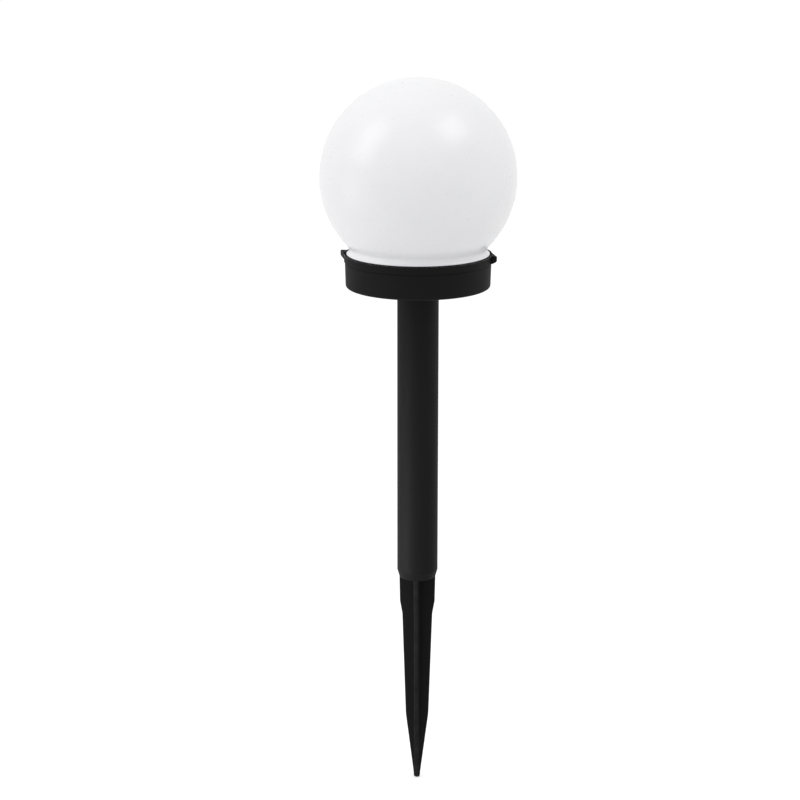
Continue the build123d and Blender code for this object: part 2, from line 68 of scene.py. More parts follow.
def linear(colour):
    """Linear red, green and blue of an sRGB hex colour."""
    parts = [int(colour[k : k + 2], 16) / 255 for k in (1, 3, 5)]
    return tuple(p / 12.92 if p <= 0.04045 else ((p + 0.055) / 1.055) ** 2.4 for p in parts)


def length(name, default, description):
    """Length property, in metres."""
    return FloatProperty(name=name, description=description, default=default, unit="LENGTH", precision=5)


def turn_angle(name, degrees, description):
    """Angle property, from its value in degrees."""
    return FloatProperty(name=name, description=description, default=math.radians(degrees), unit="ROTATION")


def paint(name, default, description):
    """Colour property whose default is an sRGB hex value."""
    return FloatVectorProperty(
        name=name, description=description, default=linear(default), subtype="COLOR", min=0, max=1
    )


# ---------------------------------------------------------------- sizes and colours


class GlobeSizes(bpy.types.PropertyGroup):
    """Opal globe with its flange, neck and bayonet lugs."""

    radius: length("Radius", -low("globe_shade").x, "Outside radius of the sphere")
    wall: length("Wall", 1.6 * MM, "Thickness of the sphere's wall")
    throat: length("Throat", 27.8 * MM, "Radius at which the bare sphere would meet its flange")
    throat_round: length("Throat rounding", 2.4 * MM, "Rounding between the sphere and its flange")
    flange_radius: length("Flange radius", 32.2 * MM, "Outside radius of the flange")
    flange: length("Flange", 1.8 * MM, "Thickness of the flange")
    neck_radius: length("Neck radius", 30.4 * MM, "Outside radius of the neck")
    neck_wall: length("Neck wall", 1.5 * MM, "Thickness of the neck")
    lug_radius: length("Lug radius", 32.1 * MM, "Radius to the outside of the lugs")
    lug_width: length("Lug width", 4.4 * MM, "Width of a lug round the neck")
    lug_height: length("Lug height", 2.0 * MM, "Height of a lug")
    lug_rise: length("Lug rise", 0.8 * MM, "Height of the lugs above the neck's foot")
    lugs: IntProperty(name="Lugs", description="Number of lugs round the neck", default=3, min=2, max=6)
    colour: paint("Colour", "#F9F9FB", "Opal plastic")


class CupSizes(bpy.types.PropertyGroup):
    """Black cup with its lip, thumb tabs, bayonet grooves, screw posts and spigot."""

    lip_radius: length("Lip radius", high("base_cup").y, "Outside radius of the lip")
    lip_out: length("Lip step", 0.4 * MM, "How far the lip stands out from the wall")
    lip_height: length("Lip height", 3.6 * MM, "Height of the lip")
    lip_wall: length("Lip wall", 1.5 * MM, "Thickness of the lip")
    lip_round: length("Lip rounding", 0.35 * MM, "Rounding of the lip's edges")
    wall: length("Wall", 2.7 * MM, "Thickness of the cup's wall")
    draft: length("Draft", 0.3 * MM, "How much narrower the cup is at its foot")
    floor: length("Floor", 1.6 * MM, "Thickness of the cup's floor")
    foot_round: length("Foot rounding", 1.2 * MM, "Rounding of the cup's foot")
    ledge_drop: length("Ledge drop", 4.25 * MM, "From the lip's top to the ledge under the rubber ring")
    groove: length("Groove", 1.5 * MM, "Depth of the bayonet grooves")
    groove_roof: length("Groove roof", 1.75 * MM, "Wall between the ledge and a groove")
    groove_height: length("Groove height", 2.5 * MM, "Height of a groove")
    slot_width: length("Slot width", 5.0 * MM, "Width of the slot that a lug comes down")
    tab_out: length("Tab reach", 3.2 * MM, "How far a thumb tab stands out from the lip")
    tab_height: length("Tab height", 3.5 * MM, "Height of a tab at its root")
    tab_edge: length("Tab edge", 2.2 * MM, "Height of a tab at its tip")
    tab_round: length("Tab rounding", 0.8 * MM, "Rounding of a tab's tip")
    tab_arc: turn_angle("Tab arc", 25, "Angle over which a tab's flank rises")
    lug_turn: turn_angle("Lug turn", 25, "Angle that the globe turns to lock")
    spigot_radius: length("Spigot radius", 7.6 * MM, "Outside radius of the spigot between its ribs")
    spigot_wall: length("Spigot wall", 1.35 * MM, "Thickness of the spigot")
    rib_radius: length("Rib radius", 7.93 * MM, "Radius to the ribs' outside")
    rib_width: length("Rib width", 1.6 * MM, "Width of a rib")
    ribs: IntProperty(name="Ribs", description="Number of ribs on the spigot", default=6, min=3, max=12)
    post_radius: length("Post radius", 2.8 * MM, "Outside radius of the screw posts")
    post_bore: length("Post bore", 1.15 * MM, "Radius of the holes in the screw posts")
    post_height: length("Post height", 8.9 * MM, "Height of the screw posts")
    colour: paint("Colour", "#090909", "Moulded black plastic")


class PoleSizes(bpy.types.PropertyGroup):
    """Straight black tube."""

    radius: length("Radius", high("pole_tube").x, "Outside radius")
    wall: length("Wall", 1.6 * MM, "Thickness of the tube's wall")
    chamfer_height: length("Chamfer height", 3.5 * MM, "Height of the cone at the lower end")
    chamfer_in: length("Chamfer inset", 1.05 * MM, "How far the cone draws in")
    edge_round: length("Edge rounding", 0.25 * MM, "Rounding of the cut ends")
    colour: paint("Colour", "#070708", "Extruded black plastic")


class SpikeSizes(bpy.types.PropertyGroup):
    """Ground spike of crossed section."""

    blade: length("Blade", 2.0 * MM, "Thickness of the blades")
    blade_round: length("Blade rounding", 0.35 * MM, "Rounding of the blades' long edges")
    root_round: length("Root rounding", 0.5 * MM, "Rounding in the corners between the blades")
    plug_half: length("Plug half width", 7.867 * MM, "Half the width across the blades inside the tube")
    collar_half: length("Collar half width", 8.55 * MM, "Half the width of the shoulder under the tube")
    collar_foot_half: length("Collar foot half width", 8.3 * MM, "Half the width at the collar's foot")
    neck_half: length("Neck half width", 7.15 * MM, "Half the width under the collar")
    bend_half: length("Bend half width", 5.45 * MM, "Half the width where the point begins")
    tip_half: length("Tip half width", 1.4 * MM, "Half the width just above the tip")
    collar: length("Collar", 12.7 * MM, "Height of the collar")
    neck_drop: length("Neck drop", 6.5 * MM, "Height over which the collar draws in")
    point: length("Point", 33.4 * MM, "Height of the steeper end")
    bend_round: length("Bend rounding", 30.0 * MM, "Rounding of the bend above the point")
    # This height also sets how far up from the tip the spike is painted lighter, as partly scour and partly
    # painted highlight.
    scour_and_highlight: length("Scoured height", 36.0 * MM, "Height above the tip over which soil has dulled the spike")
    turn: turn_angle("Turn", 9, "Angle of the blades against the X axis")
    colour: paint("Colour", "#070707", "Moulded black polypropylene")


class DeckColours(bpy.types.PropertyGroup):
    """Finishes of the ring, the deck and the solar panel under the globe."""

    seal: paint("Seal", "#1B1B1C", "Moulded rubber ring")
    deck: paint("Deck", "#E6E5E1", "Moulded white plastic of the deck and the cell's cradle")
    button: paint("Button", "#6A6B6D", "Moulded grey plastic")
    zinc: paint("Screws", "#B9BBBC", "Zinc-plated steel")
    fibre: paint("Panel board", "#D8CFA6", "Bare glass-fibre board")
    silicon: paint("Solar strips", "#14294F", "Coated silicon")
    silver: paint("Silver print", "#C3C6C8", "Printed silver on the strips")
    resin: paint("Resin", "#F6F8F7", "Clear resin over the strips")
    strips: IntProperty(name="Strips", description="Number of solar strips", default=4, min=1, max=12)


class ElectronicsColours(bpy.types.PropertyGroup):
    """Finishes of the board, the light emitters, the cell and the wires."""

    board: paint("Board", "#1F7A43", "Solder mask")
    chip: paint("Chip", "#1A1A1B", "Epoxy body of the light controller")
    choke: paint("Choke", "#7FB08A", "Lacquered body of the choke")
    capacitor: paint("Capacitor", "#1C2340", "Sleeve of the capacitor")
    switch: paint("Switch", "#2A55A8", "Moulded body of the switch")
    lens: paint("Lens", "#F4F4F0", "Clear epoxy of the light emitters")
    phosphor: paint("Phosphor", "#E9B94C", "Foot of the light emitters")
    tin: paint("Tinned wire", "#C2C3C0", "Tinned legs and wire ends")
    nickel: paint("Nickel", "#BDB9B0", "Nickel plating of the can and its contacts")
    spring: paint("Spring", "#C6C7C8", "Plated spring wire")
    jacket: paint("Cell jacket", "#2E8B57", "Shrink sleeve of the cell")
    red: paint("Red wire", "#A3201A", "Insulation of the plus wires")
    black: paint("Black wire", "#161616", "Insulation of the minus wires")


class StageSizes(bpy.types.PropertyGroup):
    """Camera, lamps and floor."""

    azimuth: turn_angle("Azimuth", 14, "Camera's angle round the light")
    elevation: turn_angle("Elevation", 14.56, "Camera's angle above the level")
    distance: length("Distance", 0.9708, "From the camera to the axis")
    aim_height: length("Aim height", 86.4 * MM, "Height on the axis that the camera looks at")
    aim_aside: length("Aim aside", -8.3 * MM, "How far beside the axis the camera looks")
    lens: FloatProperty(
        name="Lens", description="Focal length in mm on a 36 mm frame", default=93.6, unit="CAMERA"
    )
    floor: paint("Floor", "#EAEAEA", "Pale floor")


class LightSettings(bpy.types.PropertyGroup):
    """Everything that a user would change."""

    globe: PointerProperty(type=GlobeSizes)
    cup: PointerProperty(type=CupSizes)
    pole: PointerProperty(type=PoleSizes)
    spike: PointerProperty(type=SpikeSizes)
    deck: PointerProperty(type=DeckColours)
    electronics: PointerProperty(type=ElectronicsColours)
    stage: PointerProperty(type=StageSizes)


# ---------------------------------------------------------------- surfaces


def rounded(corners, steps=6, hold=0.2 * MM):
    """Open outline through corners (across, up, radius), each turned by an arc that touches both its runs.

    The arc starts radius times tan(half the turn) before its corner. At a share s of the turn t it has gone
    radius * sin(s t) on along the incoming run and radius * (1 - cos(s t)) to the side of the outgoing one.
    Each straight run gets a point near both ends, which keeps it flat in shading beside its arcs.
    """
    corners = np.asarray(corners, float)
    spots, radii = corners[:, :2], corners[:, 2]
    runs = np.diff(spots, axis=0)
    ways = runs / np.linalg.norm(runs, axis=1, keepdims=True)
    arcs = [spots[:1]]
    for here, radius, on, off in zip(spots[1:-1], radii[1:-1], ways, ways[1:]):
        turn = math.acos(float(np.clip(on @ off, -1, 1)))
        if radius == 0 or turn < 1e-4:
            arcs.append(here[None])
            continue
        side = (off - (on @ off) * on) / math.sin(turn)
        share = np.linspace(0, turn, steps + 1)[:, None]
        start = here - on * radius * math.tan(turn / 2)
        arcs.append(start + radius * (np.sin(share) * on + (1 - np.cos(share)) * side))
    arcs.append(spots[-1:])
    outline = [arcs[0]]
    for before, after in zip(arcs, arcs[1:]):
        gap = after[0] - before[-1]
        size = float(np.linalg.norm(gap))
        if size > 3 * hold:
            outline.append(before[-1:] + gap * hold / size)
            outline.append(after[:1] - gap * hold / size)
        outline.append(after)
    return np.concatenate(outline)


def ring_angles(count, *edges):
    """Angles of a full turn: an even count of them, with the given edges added."""
    even = np.linspace(0, 2 * math.pi, count, endpoint=False)
    return np.unique(np.round(np.concatenate([even, np.mod(np.concatenate(edges or [[]]), 2 * math.pi)]), 7))


def window(values, start, end, soft):
    """1 between start and end and 0 outside, with a straight slope of width soft centred on each edge."""
    rise = np.clip((values - start) / soft + 0.5, 0, 1)
    fall = np.clip((end - values) / soft + 0.5, 0, 1)
    return rise * fall


def around(angles, middle):
    """Signed angle from a middle angle, within half a turn."""
    return np.mod(angles - middle + math.pi, 2 * math.pi) - math.pi


def turned(radius, height, angles, centre=(0.0, 0.0)):
    """Grid of points (r cos a, r sin a, z): rows of radius and height, carried round an upright axis."""
    radius = np.broadcast_to(np.asarray(radius), (len(height), len(angles)))
    height = np.broadcast_to(np.asarray(height)[:, None], radius.shape)
    x = centre[0] + radius * np.cos(angles)
    y = centre[1] + radius * np.sin(angles)
    return np.stack((x, y, height), axis=-1)


def shell(grid, ends=None):
    """Closed surface over a grid of points, rows by columns: its vertices and its faces, facing outwards.

    Neighbouring points make quads and the last column joins the first. With ends, two points, the first and
    last rows are closed by triangles round those points; without them the last row joins the first row.
    The signed volume under the faces tells whether they have to be turned over. The faces are returned as
    arrays of vertex numbers, the quads first.
    """
    rows, columns = grid.shape[:2]
    points = grid.reshape(-1, 3)
    index = np.arange(rows * columns).reshape(rows, columns)
    if ends is None:
        index = np.vstack([index, index[:1]])
    beside = np.roll(index, -1, axis=1)
    quads = np.stack((index[:-1], beside[:-1], beside[1:], index[1:]), axis=-1).reshape(-1, 4)
    fans = []
    if ends is not None:
        points = np.vstack([points, ends])
        first, last = np.full(columns, len(points) - 2), np.full(columns, len(points) - 1)
        fans.append(np.stack((first, beside[0], index[0]), axis=-1))
        fans.append(np.stack((last, index[-1], beside[-1]), axis=-1))
    triangles = np.concatenate([quads[:, [0, 1, 2]], quads[:, [0, 2, 3]], *fans])
    a, b, c = (points[triangles[:, k]] for k in range(3))
    outwards = 1 if np.einsum("ij,ij->", a, np.cross(b, c)) > 0 else -1
    return points, [part[:, ::outwards] for part in (quads, *fans)]


def add_piece(name, shells, material, body, node, edge=None):
    """Object at the origin from one or more shells, riding on a body in place of a CAD node.

    The attribute "edge", from 0 to 1, tells the material where to lighten the colour, partly for wear and
    partly as a painted highlight on outer edges and the spike's tip.
    """
    points, faces, start = [], [], 0
    for shell_points, shell_faces in shells:
        points.append(shell_points)
        for part in shell_faces:
            faces += (part + start).tolist()
        start += len(shell_points)
    mesh = bpy.data.meshes.new(name)
    mesh.from_pydata(np.concatenate(points), [], faces)
    mesh.polygons.foreach_set("use_smooth", np.ones(len(mesh.polygons), bool))
    mesh.set_sharp_from_angle(angle=math.radians(35))
    mesh.materials.append(material)
    if edge is not None:
        spread = np.zeros(len(mesh.vertices))
        spread[: len(edge)] = edge
        mesh.attributes.new("edge", "FLOAT", "POINT").data.foreach_set("value", spread)
    if mesh.validate():
        raise RuntimeError(f"{name}: its mesh has faults")
    piece = bpy.data.objects.new(name, mesh)
    bpy.context.scene.collection.objects.link(piece)
    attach(piece, body)
    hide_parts(node)
    return piece


# ---------------------------------------------------------------- materials


def add(tree, kind, sockets=None, links=None, stops=(), **settings):
    """Add a node of a kind with its properties, ramp stops and sockets, and link inputs from (node, output)."""
    node = tree.nodes.new(kind)
    node.location = (220 * (len(tree.nodes) % 8), -240 * (len(tree.nodes) // 8))
    for name, value in settings.items():
        setattr(node, name, value)
    for index, (position, colour) in enumerate(stops):
        stop = node.color_ramp.elements[index] if index < 2 else node.color_ramp.elements.new(position)
        stop.position, stop.color = position, (*colour[:3], 1)
    for name, value in (sockets or {}).items():
        node.inputs[name].default_value = value
    for name, (source, output) in (links or {}).items():
        tree.links.new(source.outputs[output], node.inputs[name])
    return node


def new_material(name):
    """Node material with nothing in it but the object's coordinates, and the link that reads them."""
    material = bpy.data.materials.new(name)
    material.use_nodes = True
    tree = material.node_tree
    tree.nodes.clear()
    return material, tree, {"Vector": (add(tree, "ShaderNodeTexCoord"), "Object")}


def per(millimetres):
    """Texture scale at which one feature is that many millimetres long."""
    return 1 / (millimetres * MM)


def scaled(colour, factor):
    """A colour made lighter or darker."""
    return tuple(min(1.0, part * factor) for part in colour[:3])


def lines_across(tree, value, pitch, width):
    """1 on lines of a width that stand a pitch apart along a coordinate, and 0 between them.

    The coordinate over the pitch has its whole part taken off, and what is left is compared with one half.
    """
    turns = add(tree, "ShaderNodeMath", {1: 1 / pitch}, {0: value}, operation="MULTIPLY")
    part = add(tree, "ShaderNodeMath", links={0: (turns, "Value")}, operation="FRACT")
    reach = width / pitch / 2
    return add(tree, "ShaderNodeMath", {1: 0.5, 2: reach}, {0: (part, "Value")}, operation="COMPARE")


def moulded_plastic(name, colour, lighter, grain_mm, roughness, specular):
    """ABS or polypropylene, injection-moulded in a spark-eroded mould.

    The mould leaves an even pebbled grain, which breaks the gloss up. The grain of the real part is about
    0.1 mm and is drawn coarser, so that it shows. Slow cooling leaves wide, faint clouds. The mesh's attribute
    "edge" is 1 on the outer edges, and there the colour is lifted in patches towards a far lighter grey: partly
    wear from handling, partly a painted highlight on the edges and the spike's tip.
    """
    material, tree, where = new_material(name)
    clouds = add(tree, "ShaderNodeTexNoise", {"Scale": per(22), "Detail": 3, "Roughness": 0.6}, where)
    grain = add(tree, "ShaderNodeTexNoise", {"Scale": per(grain_mm), "Detail": 2}, where)
    rub_and_highlight_noise = add(tree, "ShaderNodeTexNoise", {"Scale": per(4), "Detail": 4}, where)
    edge = add(tree, "ShaderNodeAttribute", attribute_name="edge")
    shades = ((0.3, colour), (0.75, scaled(colour, lighter)))
    tone = add(tree, "ShaderNodeValToRGB", links={"Fac": (clouds, "Fac")}, stops=shades)
    patches = add(
        tree, "ShaderNodeMapRange", {"From Min": 0.3, "From Max": 0.65, "To Min": 0.1}, {"Value": (rub_and_highlight_noise, "Fac")}
    )
    worn_and_highlit = add(
        tree, "ShaderNodeMath", links={0: (patches, "Result"), 1: (edge, "Fac")}, operation="MULTIPLY"
    )
    # Lighter patches on the edges and the tip: partly handling wear, partly a painted highlight.
    rubbed_and_highlit = add(
        tree,
        "ShaderNodeMix",
        {"B": (*scaled(colour, 5), 1)},
        {"Factor": (worn_and_highlit, "Value"), "A": (tone, "Color")},
        data_type="RGBA",
    )
    gloss = add(
        tree,
        "ShaderNodeMapRange",
        {"From Min": 0.3, "From Max": 0.7, "To Min": roughness - 0.05, "To Max": roughness + 0.06},
        {"Value": (clouds, "Fac")},
    )
    relief = add(tree, "ShaderNodeBump", {"Strength": 0.25, "Distance": 0.03 * MM}, {"Height": (grain, "Fac")})
    shader = add(
        tree,
        "ShaderNodeBsdfPrincipled",
        {"IOR": 1.5, "Specular IOR Level": specular},
        {"Base Color": (rubbed_and_highlit, "Result"), "Roughness": (gloss, "Result"), "Normal": (relief, "Normal")},
    )
    add(tree, "ShaderNodeOutputMaterial", links={"Surface": (shader, "BSDF")})
    return material


def extruded_plastic(colour):
    """Black polypropylene tube from an extruder.

    The die draws hair-fine lines along the tube, and tubes rub against each other in their carton, which
    leaves a few longer dull streaks. The lines are drawn 0.7 mm apart so that they show.
    """
    material, tree, where = new_material("Extruded black polypropylene")
    drawn = add(tree, "ShaderNodeMapping", {"Scale": (per(0.7), per(0.7), per(60))}, where)
    slid = add(tree, "ShaderNodeMapping", {"Scale": (per(5), per(5), per(45))}, where)
    lines = add(tree, "ShaderNodeTexNoise", {"Scale": 1.0, "Detail": 2}, {"Vector": (drawn, "Vector")})
    streaks = add(tree, "ShaderNodeTexNoise", {"Scale": 1.0, "Detail": 4}, {"Vector": (slid, "Vector")})
    shades = ((0.35, colour), (0.8, scaled(colour, 1.7)))
    tone = add(tree, "ShaderNodeValToRGB", links={"Fac": (streaks, "Fac")}, stops=shades)
    gloss = add(
        tree,
        "ShaderNodeMapRange",
        {"From Min": 0.3, "From Max": 0.7, "To Min": 0.64, "To Max": 0.74},
        {"Value": (streaks, "Fac")},
    )
    relief = add(tree, "ShaderNodeBump", {"Strength": 0.12, "Distance": 0.02 * MM}, {"Height": (lines, "Fac")})
    shader = add(
        tree,
        "ShaderNodeBsdfPrincipled",
        {"IOR": 1.5, "Specular IOR Level": 0.15},
        {"Base Color": (tone, "Color"), "Roughness": (gloss, "Result"), "Normal": (relief, "Normal")},
    )
    add(tree, "ShaderNodeOutputMaterial", links={"Surface": (shader, "BSDF")})
    return material


def opal_plastic(colour):
    """Blow-moulded opal polyethylene.

    Pigment makes it milky, so light spreads a few millimetres under a smooth, waxy skin. The blown skin is
    faintly uneven over a centimetre or two, and the wall's thickness shades it by a hair.
    """
    material, tree, where = new_material("Blow-moulded opal polyethylene")
    skin = add(tree, "ShaderNodeTexNoise", {"Scale": per(16), "Detail": 2}, where)
    fine = add(tree, "ShaderNodeTexNoise", {"Scale": per(1.2), "Detail": 3}, where)
    shades = ((0.3, scaled(colour, 0.975)), (0.7, colour))
    tone = add(tree, "ShaderNodeValToRGB", links={"Fac": (skin, "Fac")}, stops=shades)
    gloss = add(
        tree,
        "ShaderNodeMapRange",
        {"From Min": 0.3, "From Max": 0.7, "To Min": 0.27, "To Max": 0.33},
        {"Value": (fine, "Fac")},
    )
    relief = add(tree, "ShaderNodeBump", {"Strength": 0.1, "Distance": 0.1 * MM}, {"Height": (skin, "Fac")})
    shader = add(
        tree,
        "ShaderNodeBsdfPrincipled",
        {
            "IOR": 1.5,
            "Specular IOR Level": 0.7,
            "Subsurface Weight": 0.15,
            "Subsurface Radius": (1.0, 0.98, 0.95),
            "Subsurface Scale": 2 * MM,
        },
        {"Base Color": (tone, "Color"), "Roughness": (gloss, "Result"), "Normal": (relief, "Normal")},
    )
    add(tree, "ShaderNodeOutputMaterial", links={"Surface": (shader, "BSDF")})
    return material


def moulded_rubber(colour):
    """Nitrile rubber ring, compression-moulded.

    It is matt, with a pale bloom in patches and a fine pebble, drawn at 0.3 mm.
    """
    material, tree, where = new_material("Moulded nitrile rubber")
    bloom = add(tree, "ShaderNodeTexNoise", {"Scale": per(6), "Detail": 4}, where)
    pebble = add(tree, "ShaderNodeTexNoise", {"Scale": per(0.3), "Detail": 1}, where)
    shades = ((0.4, colour), (0.8, scaled(colour, 2.2)))
    tone = add(tree, "ShaderNodeValToRGB", links={"Fac": (bloom, "Fac")}, stops=shades)
    relief = add(tree, "ShaderNodeBump", {"Strength": 0.3, "Distance": 0.02 * MM}, {"Height": (pebble, "Fac")})
    shader = add(
        tree,
        "ShaderNodeBsdfPrincipled",
        {"Roughness": 0.75, "IOR": 1.52, "Specular IOR Level": 0.3},
        {"Base Color": (tone, "Color"), "Normal": (relief, "Normal")},
    )
    add(tree, "ShaderNodeOutputMaterial", links={"Surface": (shader, "BSDF")})
    return material


def plated_metal(name, colour, grain_mm, roughness):
    """Steel with a thin bright plating of zinc, tin or nickel.

    The plating follows the drawn or stamped steel, so fine scratches and dull spots break its gloss.
    """
    material, tree, where = new_material(name)
    spots = add(tree, "ShaderNodeTexNoise", {"Scale": per(2.5), "Detail": 4}, where)
    grain = add(tree, "ShaderNodeTexNoise", {"Scale": per(grain_mm), "Detail": 2}, where)
    shades = ((0.35, scaled(colour, 0.82)), (0.65, colour))
    tone = add(tree, "ShaderNodeValToRGB", links={"Fac": (spots, "Fac")}, stops=shades)
    gloss = add(
        tree,
        "ShaderNodeMapRange",
        {"From Min": 0.3, "From Max": 0.7, "To Min": roughness + 0.12, "To Max": roughness},
        {"Value": (spots, "Fac")},
    )
    relief = add(tree, "ShaderNodeBump", {"Strength": 0.15, "Distance": 0.01 * MM}, {"Height": (grain, "Fac")})
    shader = add(
        tree,
        "ShaderNodeBsdfPrincipled",
        {"Metallic": 1.0},
        {"Base Color": (tone, "Color"), "Roughness": (gloss, "Result"), "Normal": (relief, "Normal")},
    )
    add(tree, "ShaderNodeOutputMaterial", links={"Surface": (shader, "BSDF")})
    return material


def glass_fibre(colour):
    """Bare board of woven glass in epoxy.

    The weave shows as a faint check under a smooth face. Its threads are 0.5 mm apart and are drawn at
    0.9 mm, lighter where one lies on top.
    """
    material, tree, where = new_material("Bare glass-fibre board")
    weave = add(tree, "ShaderNodeTexChecker", {"Scale": per(0.9)}, where)
    cloth = add(tree, "ShaderNodeTexNoise", {"Scale": per(5), "Detail": 3}, where)
    mixed = add(
        tree,
        "ShaderNodeMath",
        {1: 0.25},
        {0: (weave, "Fac"), 2: (cloth, "Fac")},
        operation="MULTIPLY_ADD",
    )
    shades = ((0.3, scaled(colour, 0.8)), (0.85, colour))
    tone = add(tree, "ShaderNodeValToRGB", links={"Fac": (mixed, "Value")}, stops=shades)
    relief = add(tree, "ShaderNodeBump", {"Strength": 0.1, "Distance": 0.02 * MM}, {"Height": (mixed, "Value")})
    shader = add(
        tree,
        "ShaderNodeBsdfPrincipled",
        {"Roughness": 0.45, "IOR": 1.52},
        {"Base Color": (tone, "Color"), "Normal": (relief, "Normal")},
    )
    add(tree, "ShaderNodeOutputMaterial", links={"Surface": (shader, "BSDF")})
    return material


def printed_silicon(colour, silver, pitch):
    """Polycrystalline silicon strips with printed silver.

    Crystals about 4 mm wide turn the blue coating lighter or darker. A silver bar 0.8 mm wide runs along the
    middle of each strip, and fingers 0.1 mm wide cross it every 2 mm.
    """
    material, tree, where = new_material("Polycrystalline silicon with printed silver")
    crystals = add(tree, "ShaderNodeTexVoronoi", {"Scale": per(4)}, where)
    axes = add(tree, "ShaderNodeSeparateXYZ", links=where)
    bars = lines_across(tree, (axes, "X"), pitch, 0.8 * MM)
    fingers = lines_across(tree, (axes, "Y"), 2 * MM, 0.1 * MM)
    shades = ((0.2, scaled(colour, 0.7)), (0.8, scaled(colour, 1.7)))
    blue = add(tree, "ShaderNodeValToRGB", links={"Fac": (crystals, "Color")}, stops=shades)
    silvered = add(
        tree, "ShaderNodeMath", links={0: (bars, "Value"), 1: (fingers, "Value")}, operation="MAXIMUM"
    )
    tone = add(
        tree,
        "ShaderNodeMix",
        {"B": (*silver[:3], 1)},
        {"Factor": (silvered, "Value"), "A": (blue, "Color")},
        data_type="RGBA",
    )
    gloss = add(
        tree, "ShaderNodeMapRange", {"To Min": 0.22, "To Max": 0.5}, {"Value": (silvered, "Value")}
    )
    height = {"Height": (silvered, "Value")}
    relief = add(tree, "ShaderNodeBump", {"Strength": 0.4, "Distance": 0.02 * MM}, height)
    shader = add(
        tree,
        "ShaderNodeBsdfPrincipled",
        {"IOR": 1.6, "Specular IOR Level": 0.3},
        {"Base Color": (tone, "Result"), "Roughness": (gloss, "Result"), "Normal": (relief, "Normal")},
    )
    add(tree, "ShaderNodeOutputMaterial", links={"Surface": (shader, "BSDF")})
    return material


def cast_resin(name, low_colour, high_colour, middle, spread, roughness):
    """Clear epoxy, cast.

    It sets with a glassy face that is wavy over some millimetres. Its tint changes with height, from a lower
    colour to an upper one over a spread about a middle height, as in a lens with its phosphor at the foot.
    """
    material, tree, where = new_material(name)
    waves = add(tree, "ShaderNodeTexNoise", {"Scale": per(5), "Detail": 2}, where)
    axes = add(tree, "ShaderNodeSeparateXYZ", links=where)
    rise = add(
        tree,
        "ShaderNodeMapRange",
        {"From Min": middle - spread / 2, "From Max": middle + spread / 2},
        {"Value": (axes, "Z")},
    )
    shades = ((0.0, low_colour), (1.0, high_colour))
    tone = add(tree, "ShaderNodeValToRGB", links={"Fac": (rise, "Result")}, stops=shades)
    gloss = add(
        tree,
        "ShaderNodeMapRange",
        {"From Min": 0.3, "From Max": 0.7, "To Min": roughness, "To Max": roughness + 0.04},
        {"Value": (waves, "Fac")},
    )
    relief = add(tree, "ShaderNodeBump", {"Strength": 0.1, "Distance": 0.1 * MM}, {"Height": (waves, "Fac")})
    shader = add(
        tree,
        "ShaderNodeBsdfPrincipled",
        {"IOR": 1.5, "Specular IOR Level": 0.25, "Transmission Weight": 0.92},
        {"Base Color": (tone, "Color"), "Roughness": (gloss, "Result"), "Normal": (relief, "Normal")},
    )
    add(tree, "ShaderNodeOutputMaterial", links={"Surface": (shader, "BSDF")})
    return material


def solder_mask(colour):
    """Glass-fibre board with etched copper under green solder mask.

    The tracks show through the mask as lighter raised lines 0.6 mm wide. In patches of about 7 mm they run
    along the board or across it, at the 2.54 mm pitch of the parts on it.
    """
    material, tree, where = new_material("Circuit board under solder mask")
    axes = add(tree, "ShaderNodeSeparateXYZ", links=where)
    along = lines_across(tree, (axes, "X"), 2.54 * MM, 0.6 * MM)
    across = lines_across(tree, (axes, "Y"), 2.54 * MM, 0.6 * MM)
    areas = add(tree, "ShaderNodeTexVoronoi", {"Scale": per(7)}, where)
    turn = add(tree, "ShaderNodeMath", {1: 0.5}, {0: (areas, "Color")}, operation="GREATER_THAN")
    tracks = add(
        tree, "ShaderNodeMix", links={"Factor": (turn, "Value"), "A": (along, "Value"), "B": (across, "Value")}
    )
    shades = ((0.0, scaled(colour, 0.7)), (1.0, scaled(colour, 1.5)))
    tone = add(tree, "ShaderNodeValToRGB", links={"Fac": (tracks, "Result")}, stops=shades)
    height = {"Height": (tracks, "Result")}
    relief = add(tree, "ShaderNodeBump", {"Strength": 0.5, "Distance": 0.03 * MM}, height)
    shader = add(
        tree,
        "ShaderNodeBsdfPrincipled",
        {"Roughness": 0.3, "IOR": 1.52},
        {"Base Color": (tone, "Color"), "Normal": (relief, "Normal")},
    )
    add(tree, "ShaderNodeOutputMaterial", links={"Surface": (shader, "BSDF")})
    return material


